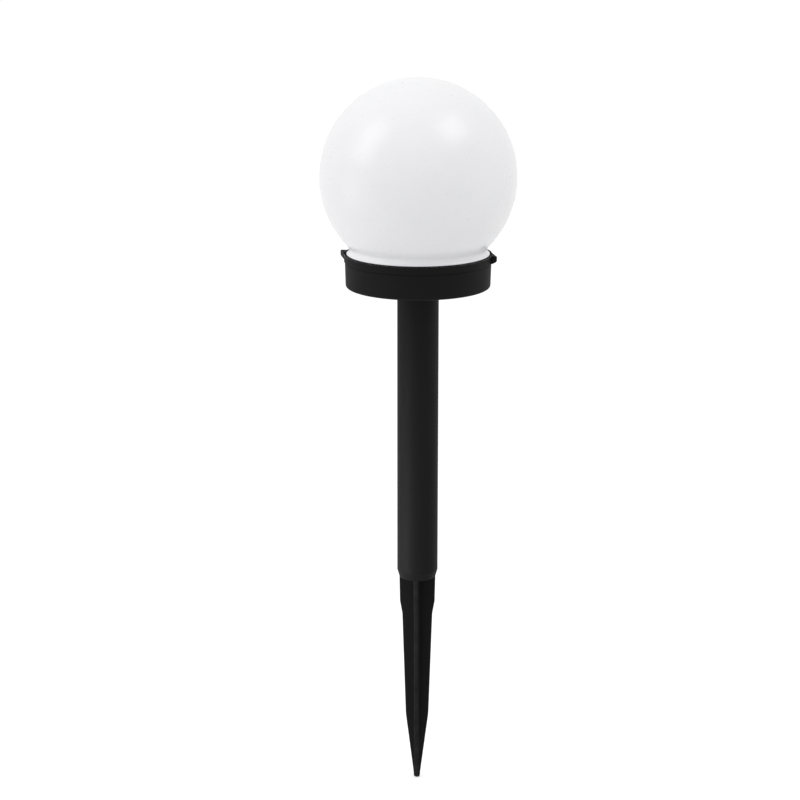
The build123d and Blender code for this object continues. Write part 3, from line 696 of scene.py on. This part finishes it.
def part_with_wires(name, bands, coordinate, start, end, tin, roughness):
    """Small electronic part with a lacquered or moulded body and tinned wires.

    Along one coordinate the share of the way from start to end picks a colour from the bands, each held up
    to the next. Outside the stretch there is tinned wire, which is metal. Dust and flux mottle the body.
    """
    material, tree, where = new_material(name)
    axes = add(tree, "ShaderNodeSeparateXYZ", links=where)
    stretch = {"From Min": start, "From Max": end}
    share = add(tree, "ShaderNodeMapRange", stretch, {"Value": (axes, coordinate)}, clamp=False)
    body = add(tree, "ShaderNodeValToRGB", links={"Fac": (share, "Result")}, stops=bands)
    body.color_ramp.interpolation = "CONSTANT"
    spots = add(tree, "ShaderNodeTexNoise", {"Scale": per(0.8), "Detail": 3}, where)
    mottle = add(
        tree, "ShaderNodeMapRange", {"To Min": 0.75, "To Max": 1.25}, {"Value": (spots, "Fac")}
    )
    dusty = add(
        tree,
        "ShaderNodeVectorMath",
        links={0: (body, "Color"), "Scale": (mottle, "Result")},
        operation="SCALE",
    )
    inside = add(tree, "ShaderNodeMath", {1: 0.5, 2: 0.5}, {0: (share, "Result")}, operation="COMPARE")
    tone = add(
        tree,
        "ShaderNodeMix",
        {"A": (*tin[:3], 1)},
        {"Factor": (inside, "Value"), "B": (dusty, "Vector")},
        data_type="RGBA",
    )
    metal = add(tree, "ShaderNodeMapRange", {"To Min": 1.0, "To Max": 0.0}, {"Value": (inside, "Value")})
    shader = add(
        tree,
        "ShaderNodeBsdfPrincipled",
        {"Roughness": roughness},
        {"Base Color": (tone, "Result"), "Metallic": (metal, "Result")},
    )
    add(tree, "ShaderNodeOutputMaterial", links={"Surface": (shader, "BSDF")})
    return material


def shrink_sleeve(name, colour):
    """Heat-shrunk PVC sleeve.

    Shrinking leaves shallow wrinkles round the part, about a millimetre apart, and a soft gloss.
    """
    material, tree, where = new_material(name)
    pulled = add(tree, "ShaderNodeMapping", {"Scale": (per(1), per(7), per(7))}, where)
    wrinkles = add(tree, "ShaderNodeTexNoise", {"Scale": 1.0, "Detail": 3}, {"Vector": (pulled, "Vector")})
    shades = ((0.3, scaled(colour, 0.85)), (0.7, scaled(colour, 1.1)))
    tone = add(tree, "ShaderNodeValToRGB", links={"Fac": (wrinkles, "Fac")}, stops=shades)
    relief = add(tree, "ShaderNodeBump", {"Strength": 0.3, "Distance": 0.1 * MM}, {"Height": (wrinkles, "Fac")})
    shader = add(
        tree,
        "ShaderNodeBsdfPrincipled",
        {"Roughness": 0.3, "IOR": 1.53},
        {"Base Color": (tone, "Color"), "Normal": (relief, "Normal")},
    )
    add(tree, "ShaderNodeOutputMaterial", links={"Surface": (shader, "BSDF")})
    return material


# ---------------------------------------------------------------- pieces


def globe_shells(sizes):
    """Opal globe: the profile of sphere, flange, neck and bore is turned about Z, from pole to pole.

    A hollow arc of radius f joins the sphere of radius R to the flange a drop d below its centre. Its centre is
    R + f from the sphere's, so it touches the sphere at the angle asin((d - f) / (R + f)) below the equator.
    The lugs are a window in angle and height on the neck's rows, where the radius grows to the lugs' radius.
    """
    radius, inside = sizes.radius, sizes.radius - sizes.wall
    drop = math.sqrt(radius**2 - sizes.throat**2)
    centre = high("globe_shade").z - radius
    foot = low("globe_shade").z
    flange_top = centre - drop
    flange_low = flange_top - sizes.flange
    lug_low = foot + sizes.lug_rise
    lug_high = lug_low + sizes.lug_height
    soft = 0.2 * MM
    bore = sizes.neck_radius - sizes.neck_wall
    hollow = sizes.throat_round
    touch = math.asin((drop - hollow) / (radius + hollow))
    falling = np.linspace(math.radians(89.4), -touch, 150)
    swing = np.linspace(math.pi - touch, 1.5 * math.pi, 13)
    swing_middle = (radius + hollow) * math.cos(touch)
    rising = np.linspace(-math.asin(drop / inside), math.radians(89.4), 90)
    ball = np.stack((radius * np.cos(falling), centre + radius * np.sin(falling)), axis=-1)
    throat_height = flange_top + hollow * (1 + np.sin(swing))
    throat = np.stack((swing_middle + hollow * np.cos(swing), throat_height), axis=-1)
    outer = np.concatenate([ball[:-1], throat])
    inner = np.stack((inside * np.cos(rising), centre + inside * np.sin(rising)), axis=-1)
    neck_rows = [lug_high + soft, lug_high, lug_high - soft, lug_low + soft, lug_low, lug_low - soft]
    neck = rounded(
        [
            (*outer[-1], 0),
            (sizes.flange_radius, flange_top, 0.3 * MM),
            (sizes.flange_radius, flange_low, 0.3 * MM),
            (sizes.neck_radius, flange_low, 0.2 * MM),
            *[(sizes.neck_radius, z, 0) for z in neck_rows],
            (sizes.neck_radius, foot, 0.3 * MM),
            (bore, foot, 0.3 * MM),
            (bore, flange_low, 0.5 * MM),
            (*inner[0], 0),
        ]
    )
    profile = np.concatenate([outer[:-1], neck, inner[1:]])
    half = sizes.lug_width / sizes.lug_radius / 2
    slope = soft / sizes.lug_radius
    middles = np.array([math.pi / 2 + k * 2 * math.pi / sizes.lugs for k in range(sizes.lugs)])
    edges = [middles + side * half + step * slope / 2 for side in (1, -1) for step in (1, -1)]
    angles = ring_angles(192, *edges)
    lugs = sum(window(around(angles, middle), -half, half, slope) for middle in middles)
    on_neck = np.abs(profile[:, 0] - sizes.neck_radius) < 1e-6
    rows = on_neck * window(profile[:, 1], lug_low, lug_high, soft)
    grown = profile[:, :1] + (sizes.lug_radius - sizes.neck_radius) * rows[:, None] * lugs
    top = (0, 0, centre + radius)
    ceiling = (0, 0, centre + inside)
    return [shell(turned(grown, profile[:, 1], angles), (top, ceiling))]


def thumb_tab(sizes, top, turn):
    """One saw-tooth tab: its plan outline, shrunk and dropped row by row, then turned about Z.

    The plan rises from the lip to the tip and drops back square. Rounding moves the upper rows in along the
    outline's normals, and the lower rows are held inside a cone, which gives the sloped underside.
    """
    root = sizes.lip_radius - sizes.lip_wall / 4
    tip = sizes.lip_radius + sizes.tab_out
    start = (root * math.cos(sizes.tab_arc), root * math.sin(sizes.tab_arc))
    plan = rounded([(root, 0, 0), (tip, 0, sizes.tab_round), (*start, 0)], 8)
    edge = np.roll(plan, -1, axis=0) - np.roll(plan, 1, axis=0)
    normal = np.stack((edge[:, 1], -edge[:, 0]), axis=-1) / np.linalg.norm(edge, axis=1, keepdims=True)
    quarter = np.linspace(0, math.pi / 2, 5)
    soft = sizes.lip_round
    inset = np.concatenate([soft * (1 - np.sin(quarter)), np.zeros(8)])
    drop = np.concatenate([soft * (1 - np.cos(quarter)), np.linspace(soft * 1.2, sizes.tab_height, 8)])
    reach = np.interp(drop, [sizes.tab_edge, sizes.tab_height], [tip, sizes.lip_radius + sizes.tab_out / 4])
    rows = plan[None] - inset[:, None, None] * normal[None]
    size = np.linalg.norm(rows, axis=-1, keepdims=True)
    rows = rows * np.minimum(1, reach[:, None, None] / size)
    x = rows[..., 0] * math.cos(turn) - rows[..., 1] * math.sin(turn)
    y = rows[..., 0] * math.sin(turn) + rows[..., 1] * math.cos(turn)
    grid = np.stack((x, y, np.broadcast_to(top - drop[:, None], x.shape)), axis=-1)
    return shell(grid, (grid[0].mean(axis=0), grid[-1].mean(axis=0)))


def cup_shells(sizes):
    """Black cup: a profile from the floor's middle over wall and lip to the spigot, turned about Z.

    The bayonet grooves are windows in angle and height that push the bore's rows out, and the spigot's ribs
    are windows in angle on its rows. The wall is undercut a little below the lip, which draws a shadow there.
    The two tabs and the two screw posts are shells of their own.
    """
    top, base = high("base_cup").z, high("pole_tube").z
    foot = low("base_cup").z
    lip, bore = sizes.lip_radius, sizes.lip_radius - sizes.lip_out - sizes.wall
    wall = sizes.lip_radius - sizes.lip_out
    floor = base + sizes.floor
    ledge = top - sizes.ledge_drop
    groove_top = ledge - sizes.groove_roof
    groove_low = groove_top - sizes.groove_height
    soft = 0.16 * MM
    hub, rib_start = 1 * MM, 1 * MM
    under_lip = top - sizes.lip_height
    undercut = wall - 0.15 * MM
    core = sizes.spigot_radius
    core_bore = core - sizes.spigot_wall
    bore_rows = [groove_low - soft, groove_low + soft, groove_top - soft, groove_top + soft]
    profile = rounded(
        [
            (hub, floor, 0),
            (bore, floor, 0.5 * MM),
            *[(bore, z, 0) for z in bore_rows],
            (bore, ledge, 0.2 * MM),
            (lip - sizes.lip_wall, ledge, 0.2 * MM),
            (lip - sizes.lip_wall, top, sizes.lip_round),
            (lip, top, sizes.lip_round),
            (lip, under_lip, 0.18 * MM),
            (undercut, under_lip, 0.12 * MM),
            (undercut, under_lip - 0.4 * MM, 0.12 * MM),
            (wall, under_lip - 0.7 * MM, 0.2 * MM),
            (wall - sizes.draft, base, sizes.foot_round),
            (core, base, 0.4 * MM),
            (core, foot + 2 * rib_start, 0),
            (core, foot + rib_start, 0),
            (core, foot, 0.3 * MM),
            (core_bore, foot, 0.3 * MM),
            (core_bore, base, 0.4 * MM),
            (hub, base, 0),
        ]
    )
    radius, height = profile.T
    slot = sizes.slot_width / (bore + sizes.groove)
    slope = soft / bore
    middles = [math.pi / 2 + k * 2 * math.pi / 3 for k in range(3)]
    spans = [(middle - slot / 2 - sizes.lug_turn, middle - slot / 2, middle + slot / 2) for middle in middles]
    groove_edges = [np.array(spans).ravel() + side * slope / 2 for side in (1, -1)]
    rib_half = sizes.rib_width / sizes.rib_radius / 2
    rib_middles = np.arange(sizes.ribs) * 2 * math.pi / sizes.ribs
    rib_slope = soft / sizes.rib_radius
    rib_edges = [
        rib_middles + side * rib_half + step * rib_slope / 2 for side in (1, -1) for step in (1, -1)
    ]
    angles = ring_angles(240, *groove_edges, *rib_edges)
    inner = (np.abs(radius - bore) < 1e-6) * (height < ledge - 0.3 * MM)
    deep = np.zeros((len(radius), len(angles)))
    for middle in middles:
        aside = around(angles, middle)
        run = window(aside, -slot / 2 - sizes.lug_turn, slot / 2, slope)
        entry = window(aside, -slot / 2, slot / 2, slope)
        low_part = window(height, groove_low, groove_top, 2 * soft)[:, None] * run
        high_part = window(height, groove_low, ledge + 1 * MM, 2 * soft)[:, None] * entry
        deep = np.maximum(deep, np.maximum(low_part, high_part))
    ribs = sum(window(around(angles, middle), -rib_half, rib_half, rib_slope) for middle in rib_middles)
    on_core = (np.abs(radius - core) < 1e-6) * np.clip((height - foot - rib_start) / rib_start, 0, 1)
    grown = radius[:, None] + sizes.groove * deep * inner[:, None]
    grown = grown + (sizes.rib_radius - core) * on_core[:, None] * ribs
    body = shell(turned(grown, height, angles), ((0, 0, floor), (0, 0, base)))
    post = rounded(
        [
            (sizes.post_bore, floor - 0.2 * MM, 0),
            (sizes.post_radius, floor - 0.2 * MM, 0),
            (sizes.post_radius, floor + sizes.post_height, 0.25 * MM),
            (sizes.post_bore, floor + sizes.post_height, 0.2 * MM),
            (sizes.post_bore, floor, 0),
        ]
    )
    low_screw, high_screw = low("deck_screws"), high("deck_screws")
    screw_head = 2 * MM
    spot = (high_screw.x - screw_head, high_screw.y - screw_head)
    opposite = (low_screw.x + screw_head, low_screw.y + screw_head)
    ring = ring_angles(40)
    posts = [shell(turned(post[:, :1], post[:, 1], ring, place)) for place in (spot, opposite)]
    tabs = [thumb_tab(sizes, top, turn) for turn in (0, math.pi)]
    return [body, *tabs, *posts]


def pole_shells(sizes):
    """Tube: the profile of its wall, with a cone at the lower end, turned about Z as a closed ring."""
    base, top = low("pole_tube").z, high("pole_tube").z
    bore = sizes.radius - sizes.wall
    soft = sizes.edge_round
    profile = rounded(
        [
            (bore, (base + top) / 2, 0),
            (bore, base, soft),
            (sizes.radius - sizes.chamfer_in, base, soft),
            (sizes.radius, base + sizes.chamfer_height, 0.8 * MM),
            (sizes.radius, top, soft),
            (bore, top, soft),
            (bore, (base + top) / 2 + MM, 0),
        ]
    )
    return [shell(turned(profile[:, :1], profile[:, 1], ring_angles(160)))]


def spike_shells(sizes):
    """Ground spike: a plus-shaped outline carried down Z while its four arms grow longer or shorter.

    In every arm the points at the root stay where they are and the points at the end move out by the half
    width at that height. Near the tip the whole outline shrinks as well, down to one point. The mark that is
    returned, part wear and part painted highlight, is 1 on the blades' long edges, and over the scoured height
    it grows towards the tip, which the material paints lighter.
    """
    top, tip = high("ground_spike").z, low("ground_spike").z
    half, soft, root = sizes.blade / 2, sizes.blade_round, sizes.root_round
    quarter = np.linspace(0, math.pi / 2, 5)
    inner_x = half + root - root * np.sin(quarter[::-1])
    inner_y = -half - root + root * np.cos(quarter[::-1])
    corner_x = soft * np.sin(quarter) - soft
    corner_y = -half + soft - soft * np.cos(quarter)
    along = np.concatenate([inner_x, [half + root + 0.15 * MM], [-soft - 0.15 * MM], corner_x])
    across = np.concatenate([inner_y, [-half], [-half], corner_y])
    moves = np.concatenate([np.zeros(len(inner_x) + 1), np.ones(len(corner_x) + 1)])
    along = np.concatenate([along, along[::-1]])
    across = np.concatenate([across, -across[::-1]])
    moves = np.concatenate([moves, moves[::-1]])
    edge = np.concatenate([np.zeros(len(inner_x) + 2), np.ones(len(corner_x))])
    edge = np.tile(np.concatenate([edge, edge[::-1]]), 4)
    run = rounded(
        [
            (sizes.plug_half - 1 * MM, top, 0),
            (sizes.plug_half, top - 2 * MM, 1 * MM),
            (sizes.plug_half, 0, 0),
            (sizes.collar_half - 0.25 * MM, 0, 0),
            (sizes.collar_half, -0.25 * MM, 0.2 * MM),
            (sizes.collar_foot_half, -sizes.collar, sizes.neck_drop / 2),
            (sizes.neck_half, -sizes.collar - sizes.neck_drop, sizes.neck_drop / 2),
            (sizes.bend_half, tip + sizes.point, sizes.bend_round),
            (sizes.tip_half, tip + sizes.tip_half, 0),
        ],
        10,
    )
    fall = np.linspace(0, 1, 7)[1:-1]
    end = np.stack((sizes.tip_half * np.sqrt(1 - fall**2), tip + sizes.tip_half * (1 - fall)), axis=-1)
    width, height = np.concatenate([run, end]).T
    narrow = np.minimum(1, width / sizes.tip_half)
    reach = along[None] * narrow[:, None] + moves[None] * width[:, None]
    reach = np.where(moves[None] > 0, np.maximum(reach, (half + root) * narrow[:, None] * 0.9), reach)
    reach = np.minimum(reach, width[:, None])
    side = across[None] * narrow[:, None]
    arms = [sizes.turn + k * math.pi / 2 for k in range(4)]
    x = np.concatenate([reach * math.cos(arm) - side * math.sin(arm) for arm in arms], axis=1)
    y = np.concatenate([reach * math.sin(arm) + side * math.cos(arm) for arm in arms], axis=1)
    grid = np.stack((x, y, np.broadcast_to(height[:, None], x.shape)), axis=-1)
    # Lighter towards the tip: partly soil scour, partly a painted highlight on the tip's end.
    scoured_and_highlit = np.clip((tip + sizes.scour_and_highlight - height) / sizes.scour_and_highlight, 0, 1)[:, None]
    worn_and_highlit = np.maximum(edge[None], 0.8 * scoured_and_highlit)
    return [shell(grid, ((0, 0, top), (0, 0, tip)))], worn_and_highlit.ravel()


# ---------------------------------------------------------------- operators


def settings(context):
    """The scene's settings of this light."""
    return context.scene.globe_light


def dress(node, material):
    """Give a CAD node's own mesh a finished material."""
    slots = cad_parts[node].material_slots
    if not slots:
        raise RuntimeError(f"{node} has no material slot")
    for slot in slots:
        slot.material = material


class GLOBELIGHT_OT_globe(bpy.types.Operator):
    """Build the opal globe with its flange, neck and lugs."""

    bl_idname = "globelight.globe"
    bl_label = "Opal globe"

    def execute(self, context):
        sizes = settings(context).globe
        finish = opal_plastic(sizes.colour)
        add_piece("opal_globe", globe_shells(sizes), finish, "globe", "globe_shade")
        return {"FINISHED"}


class GLOBELIGHT_OT_cup(bpy.types.Operator):
    """Build the black cup with its lip, tabs, grooves, posts and spigot."""

    bl_idname = "globelight.cup"
    bl_label = "Cup"

    def execute(self, context):
        sizes = settings(context).cup
        finish = moulded_plastic("Moulded black ABS", sizes.colour, 1.6, 0.8, 0.68, 0.13)
        add_piece("moulded_cup", cup_shells(sizes), finish, "lamp_base", "base_cup")
        return {"FINISHED"}


class GLOBELIGHT_OT_pole(bpy.types.Operator):
    """Build the black tube."""

    bl_idname = "globelight.pole"
    bl_label = "Pole"

    def execute(self, context):
        sizes = settings(context).pole
        finish = extruded_plastic(sizes.colour)
        add_piece("extruded_pole", pole_shells(sizes), finish, "pole", "pole_tube")
        return {"FINISHED"}


class GLOBELIGHT_OT_spike(bpy.types.Operator):
    """Build the ground spike of crossed blades."""

    bl_idname = "globelight.spike"
    bl_label = "Ground spike"

    def execute(self, context):
        sizes = settings(context).spike
        # edge carries the mask of worn edges and the painted highlight at the tip.
        shells, edge = spike_shells(sizes)
        finish = moulded_plastic("Moulded black polypropylene", sizes.colour, 1.6, 1.0, 0.55, 0.1)
        add_piece("bladed_spike", shells, finish, "spike", "ground_spike", edge)
        return {"FINISHED"}


class GLOBELIGHT_OT_seal(bpy.types.Operator):
    """Finish the rubber ring on the globe's neck."""

    bl_idname = "globelight.seal"
    bl_label = "Rubber ring"

    def execute(self, context):
        dress("neck_seal", moulded_rubber(settings(context).deck.seal))
        return {"FINISHED"}


class GLOBELIGHT_OT_deck(bpy.types.Operator):
    """Finish the white deck, its screws and the power button."""

    bl_idname = "globelight.deck"
    bl_label = "Deck"

    def execute(self, context):
        colours = settings(context).deck
        dress("deck_housing", moulded_plastic("Moulded white ABS", colours.deck, 1.05, 0.8, 0.42, 0.4))
        dress("power_button", moulded_plastic("Moulded grey ABS", colours.button, 1.15, 0.5, 0.4, 0.4))
        zinc = plated_metal("Zinc-plated steel", colours.zinc, 0.4, 0.3)
        dress("deck_screws", zinc)
        dress("board_screws", zinc)
        return {"FINISHED"}


class GLOBELIGHT_OT_solar(bpy.types.Operator):
    """Finish the solar panel: its board, its silicon strips and the clear resin over them."""

    bl_idname = "globelight.solar"
    bl_label = "Solar panel"

    def execute(self, context):
        colours = settings(context).deck
        bottom, top = low("solar_cells"), high("solar_cells")
        gap = 0.5 * MM
        pitch = (top.x - bottom.x + gap) / colours.strips
        dress("solar_backing", glass_fibre(colours.fibre))
        dress("solar_cells", printed_silicon(colours.silicon, colours.silver, pitch))
        resin = cast_resin("Clear cast resin", scaled(colours.resin, 0.96), colours.resin, top.z, 1 * MM, 0.05)
        dress("solar_cover", resin)
        return {"FINISHED"}


class GLOBELIGHT_OT_board(bpy.types.Operator):
    """Finish the circuit board and the chip, choke, capacitor and switch on it."""

    bl_idname = "globelight.board"
    bl_label = "Circuit board"

    def execute(self, context):
        colours = settings(context).electronics
        tin = colours.tin
        dress("circuit_board", solder_mask(colours.board))
        foot, top = low("boost_chip").z + 1.3 * MM, high("boost_chip").z
        chip = ((0.0, colours.chip), (0.97, scaled(colours.chip, 1.6)))
        dress("boost_chip", part_with_wires("Moulded epoxy chip", chip, "Z", foot, top, tin, 0.45))
        left, right = low("choke_coil").x, high("choke_coil").x
        wires = 1.6 * MM
        brown, black, gold = linear("#5A2E14"), linear("#111111"), linear("#B8902F")
        rings = (
            (0.0, colours.choke),
            (0.16, brown),
            (0.24, colours.choke),
            (0.36, black),
            (0.44, colours.choke),
            (0.56, brown),
            (0.64, colours.choke),
            (0.78, gold),
            (0.86, colours.choke),
        )
        choke = part_with_wires("Lacquered choke", rings, "X", left + wires, right - wires, tin, 0.25)
        dress("choke_coil", choke)
        foot, top = low("filter_capacitor").z, high("filter_capacitor").z
        can = ((0.0, colours.capacitor), (0.93, tin))
        dress("filter_capacitor", part_with_wires("Sleeved capacitor", can, "Z", foot - MM, top + MM, tin, 0.3))
        dress("switch_body", moulded_plastic("Moulded blue nylon", colours.switch, 1.1, 0.5, 0.38, 0.4))
        return {"FINISHED"}


class GLOBELIGHT_OT_emitters(bpy.types.Operator):
    """Finish the two light emitters and their legs."""

    bl_idname = "globelight.emitters"
    bl_label = "Light emitters"

    def execute(self, context):
        colours = settings(context).electronics
        foot = low("led_lamps").z
        lens = cast_resin("Cast epoxy lens", colours.phosphor, colours.lens, foot + 2.2 * MM, 1.2 * MM, 0.06)
        dress("led_lamps", lens)
        dress("led_legs", plated_metal("Tinned wire", colours.tin, 0.3, 0.3))
        return {"FINISHED"}


class GLOBELIGHT_OT_cell(bpy.types.Operator):
    """Finish the rechargeable cell, its cradle and its contacts."""

    bl_idname = "globelight.cell"
    bl_label = "Cell"

    def execute(self, context):
        colours = settings(context).electronics
        dress("battery_can", plated_metal("Nickel-plated can", colours.nickel, 0.6, 0.25))
        dress("battery_contacts", plated_metal("Nickel-plated strip", colours.nickel, 0.3, 0.3))
        dress("battery_spring", plated_metal("Nickel-plated spring wire", colours.spring, 0.2, 0.25))
        dress("battery_jacket", shrink_sleeve("Heat-shrunk PVC sleeve", colours.jacket))
        white = settings(context).deck.deck
        dress("battery_cradle", moulded_plastic("Moulded white ABS cradle", white, 1.05, 0.8, 0.45, 0.4))
        return {"FINISHED"}


class GLOBELIGHT_OT_wires(bpy.types.Operator):
    """Finish the wires from the panel and the cell to the board."""

    bl_idname = "globelight.wires"
    bl_label = "Wires"

    def execute(self, context):
        colours = settings(context).electronics
        bare = low("panel_lead_red").z + 0.8 * MM
        top = high("deck_housing").z
        for name, colour in (("red", colours.red), ("black", colours.black)):
            bands = ((0.0, colour), (0.999, scaled(colour, 1.1)))
            wire = part_with_wires(f"{name.capitalize()} PVC wire", bands, "Z", bare, top, colours.tin, 0.45)
            dress(f"panel_lead_{name}", wire)
            dress(f"battery_lead_{name}", wire)
        return {"FINISHED"}


class GLOBELIGHT_OT_stage(bpy.types.Operator):
    """Set the camera, the pale floor, the lamps and the surroundings."""

    bl_idname = "globelight.stage"
    bl_label = "Stage"

    def execute(self, context):
        sizes = settings(context).stage
        across, up, back = place_camera(sizes)
        lay_floor(sizes)
        hang_lamps(across, up, back)
        light_surroundings()
        return {"FINISHED"}


# ---------------------------------------------------------------- stage


def place_camera(sizes):
    """Camera on a sphere round the aim point; returns its right, up and backward directions."""
    level = math.cos(sizes.elevation)
    back = Vector(
        (math.sin(sizes.azimuth) * level, -math.cos(sizes.azimuth) * level, math.sin(sizes.elevation))
    )
    across = Vector((math.cos(sizes.azimuth), math.sin(sizes.azimuth), 0))
    aim = across * sizes.aim_aside + Vector((0, 0, sizes.aim_height))
    place = Vector((0, 0, sizes.aim_height)) + back * sizes.distance
    view = place - aim
    data = bpy.data.cameras.new("camera")
    data.lens, data.sensor_width = sizes.lens, 36
    data.clip_start, data.clip_end = 0.01, 50
    camera = bpy.data.objects.new("camera", data)
    camera.location = place
    camera.rotation_euler = view.to_track_quat("Z", "Y").to_euler()
    bpy.context.scene.collection.objects.link(camera)
    bpy.context.scene.camera = camera
    return across, back.cross(across), back


def background_ray(tree):
    """1 for rays that show the background: camera, glossy and transmission rays."""
    path = add(tree, "ShaderNodeLightPath")
    seen = add(
        tree,
        "ShaderNodeMath",
        links={0: (path, "Is Camera Ray"), 1: (path, "Is Glossy Ray")},
        operation="MAXIMUM",
    )
    return add(
        tree,
        "ShaderNodeMath",
        links={0: (seen, "Value"), 1: (path, "Is Transmission Ray")},
        operation="MAXIMUM",
    )


def lay_floor(sizes):
    """Wide pale floor under the spike's tip. Seen directly it is lifted to white, and it keeps its shadow."""
    half, height = 6.0, low("ground_spike").z
    mesh = bpy.data.meshes.new("floor")
    corners = [(-half, -half, height), (half, -half, height), (half, half, height), (-half, half, height)]
    mesh.from_pydata(corners, [], [(0, 1, 2, 3)])
    material = bpy.data.materials.new("Pale studio floor")
    material.use_nodes = True
    tree = material.node_tree
    tree.nodes.clear()
    matt = add(tree, "ShaderNodeBsdfDiffuse", {"Color": (*sizes.floor, 1)})
    lift = add(tree, "ShaderNodeMath", {1: 0.4}, {0: (background_ray(tree), "Value")}, operation="MULTIPLY")
    glow = add(tree, "ShaderNodeEmission", links={"Strength": (lift, "Value")})
    both = add(tree, "ShaderNodeAddShader", links={0: (matt, "BSDF"), 1: (glow, "Emission")})
    add(tree, "ShaderNodeOutputMaterial", links={"Surface": (both, "Shader")})
    mesh.materials.append(material)
    floor = bpy.data.objects.new("floor", mesh)
    bpy.context.scene.collection.objects.link(floor)


def hang_lamps(across, up, back):
    """Softboxes placed by the camera's directions.

    Two stand high at the left and right, aimed at the globe, and give it its two soft highlights. A weak one
    at the far left edges the black parts. The last is a low strip with a grid, which keeps its light off the
    globe and gives the pole its lighter left side.
    """
    globe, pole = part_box("globe_shade"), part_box("pole_tube")
    high_aim, middle_aim, low_aim = sum(globe, Vector()) / 2, sum(pole, Vector()) / 2, Vector((0, 0, pole[0].z))
    lamps = {
        "left_softbox": (high_aim, (-0.76, 0.52, 0.36), 1.0, (0.45, 0.75), 1.75, 180),
        "right_softbox": (high_aim, (0.53, 0.72, 0.42), 1.0, (0.55, 0.4), 1.5, 180),
        "side_softbox": (middle_aim, (-0.95, -0.1, 0.12), 0.9, (0.3, 0.45), 0.4, 180),
        "low_strip": (low_aim, (-0.9, -0.11, 0.42), 0.9, (0.7, 0.1), 0.4, 19),
    }
    for name, (aim, way, distance, size, watts, spread) in lamps.items():
        direction = (across * way[0] + up * way[1] + back * way[2]).normalized()
        data = bpy.data.lights.new(name, "AREA")
        data.shape = "RECTANGLE"
        data.size, data.size_y = size
        data.energy = watts
        data.spread = math.radians(spread)
        lamp = bpy.data.objects.new(name, data)
        lamp.location = aim + direction * distance
        lamp.rotation_euler = direction.to_track_quat("Z", "Y").to_euler()
        bpy.context.scene.collection.objects.link(lamp)


def light_surroundings():
    """Even surroundings: plain light for the object, white where they are seen directly."""
    world = bpy.data.worlds.new("surroundings")
    world.use_nodes = True
    tree = world.node_tree
    tree.nodes.clear()
    light = add(tree, "ShaderNodeBackground", {"Color": (1, 1, 1, 1), "Strength": 0.76})
    white = add(tree, "ShaderNodeBackground", {"Color": (1, 1, 1, 1), "Strength": 1.0})
    mix = add(
        tree,
        "ShaderNodeMixShader",
        links={"Fac": (background_ray(tree), "Value"), 1: (light, "Background"), 2: (white, "Background")},
    )
    add(tree, "ShaderNodeOutputWorld", links={"Surface": (mix, "Shader")})
    bpy.context.scene.world = world
    bpy.context.scene.view_settings.view_transform = "Standard"


# ---------------------------------------------------------------- add-on


OPERATORS = (
    GLOBELIGHT_OT_globe,
    GLOBELIGHT_OT_cup,
    GLOBELIGHT_OT_pole,
    GLOBELIGHT_OT_spike,
    GLOBELIGHT_OT_seal,
    GLOBELIGHT_OT_deck,
    GLOBELIGHT_OT_solar,
    GLOBELIGHT_OT_board,
    GLOBELIGHT_OT_emitters,
    GLOBELIGHT_OT_cell,
    GLOBELIGHT_OT_wires,
    GLOBELIGHT_OT_stage,
)
GROUPS = (
    GlobeSizes,
    CupSizes,
    PoleSizes,
    SpikeSizes,
    DeckColours,
    ElectronicsColours,
    StageSizes,
    LightSettings,
)


class GLOBELIGHT_PT_panel(bpy.types.Panel):
    """Buttons for the pieces and the stage, in the 3D view's sidebar."""

    bl_idname = "GLOBELIGHT_PT_panel"
    bl_label = "Globe Light"
    bl_space_type = "VIEW_3D"
    bl_region_type = "UI"
    bl_category = "Globe Light"

    def draw(self, context):
        for operator in OPERATORS:
            self.layout.operator(operator.bl_idname)


def register():
    """Add the classes and the scene's settings."""
    for item in (*GROUPS, *OPERATORS, GLOBELIGHT_PT_panel):
        bpy.utils.register_class(item)
    bpy.types.Scene.globe_light = PointerProperty(type=LightSettings)


def unregister():
    """Take the settings and the classes away."""
    del bpy.types.Scene.globe_light
    for item in reversed((*GROUPS, *OPERATORS, GLOBELIGHT_PT_panel)):
        bpy.utils.unregister_class(item)


def main():
    """Build the light and its stage."""
    register()
    for operator in OPERATORS:
        group, name = operator.bl_idname.split(".")
        if getattr(getattr(bpy.ops, group), name)() != {"FINISHED"}:
            raise RuntimeError(f"{operator.bl_label} did not finish")


if __name__ == "__main__":
    main()
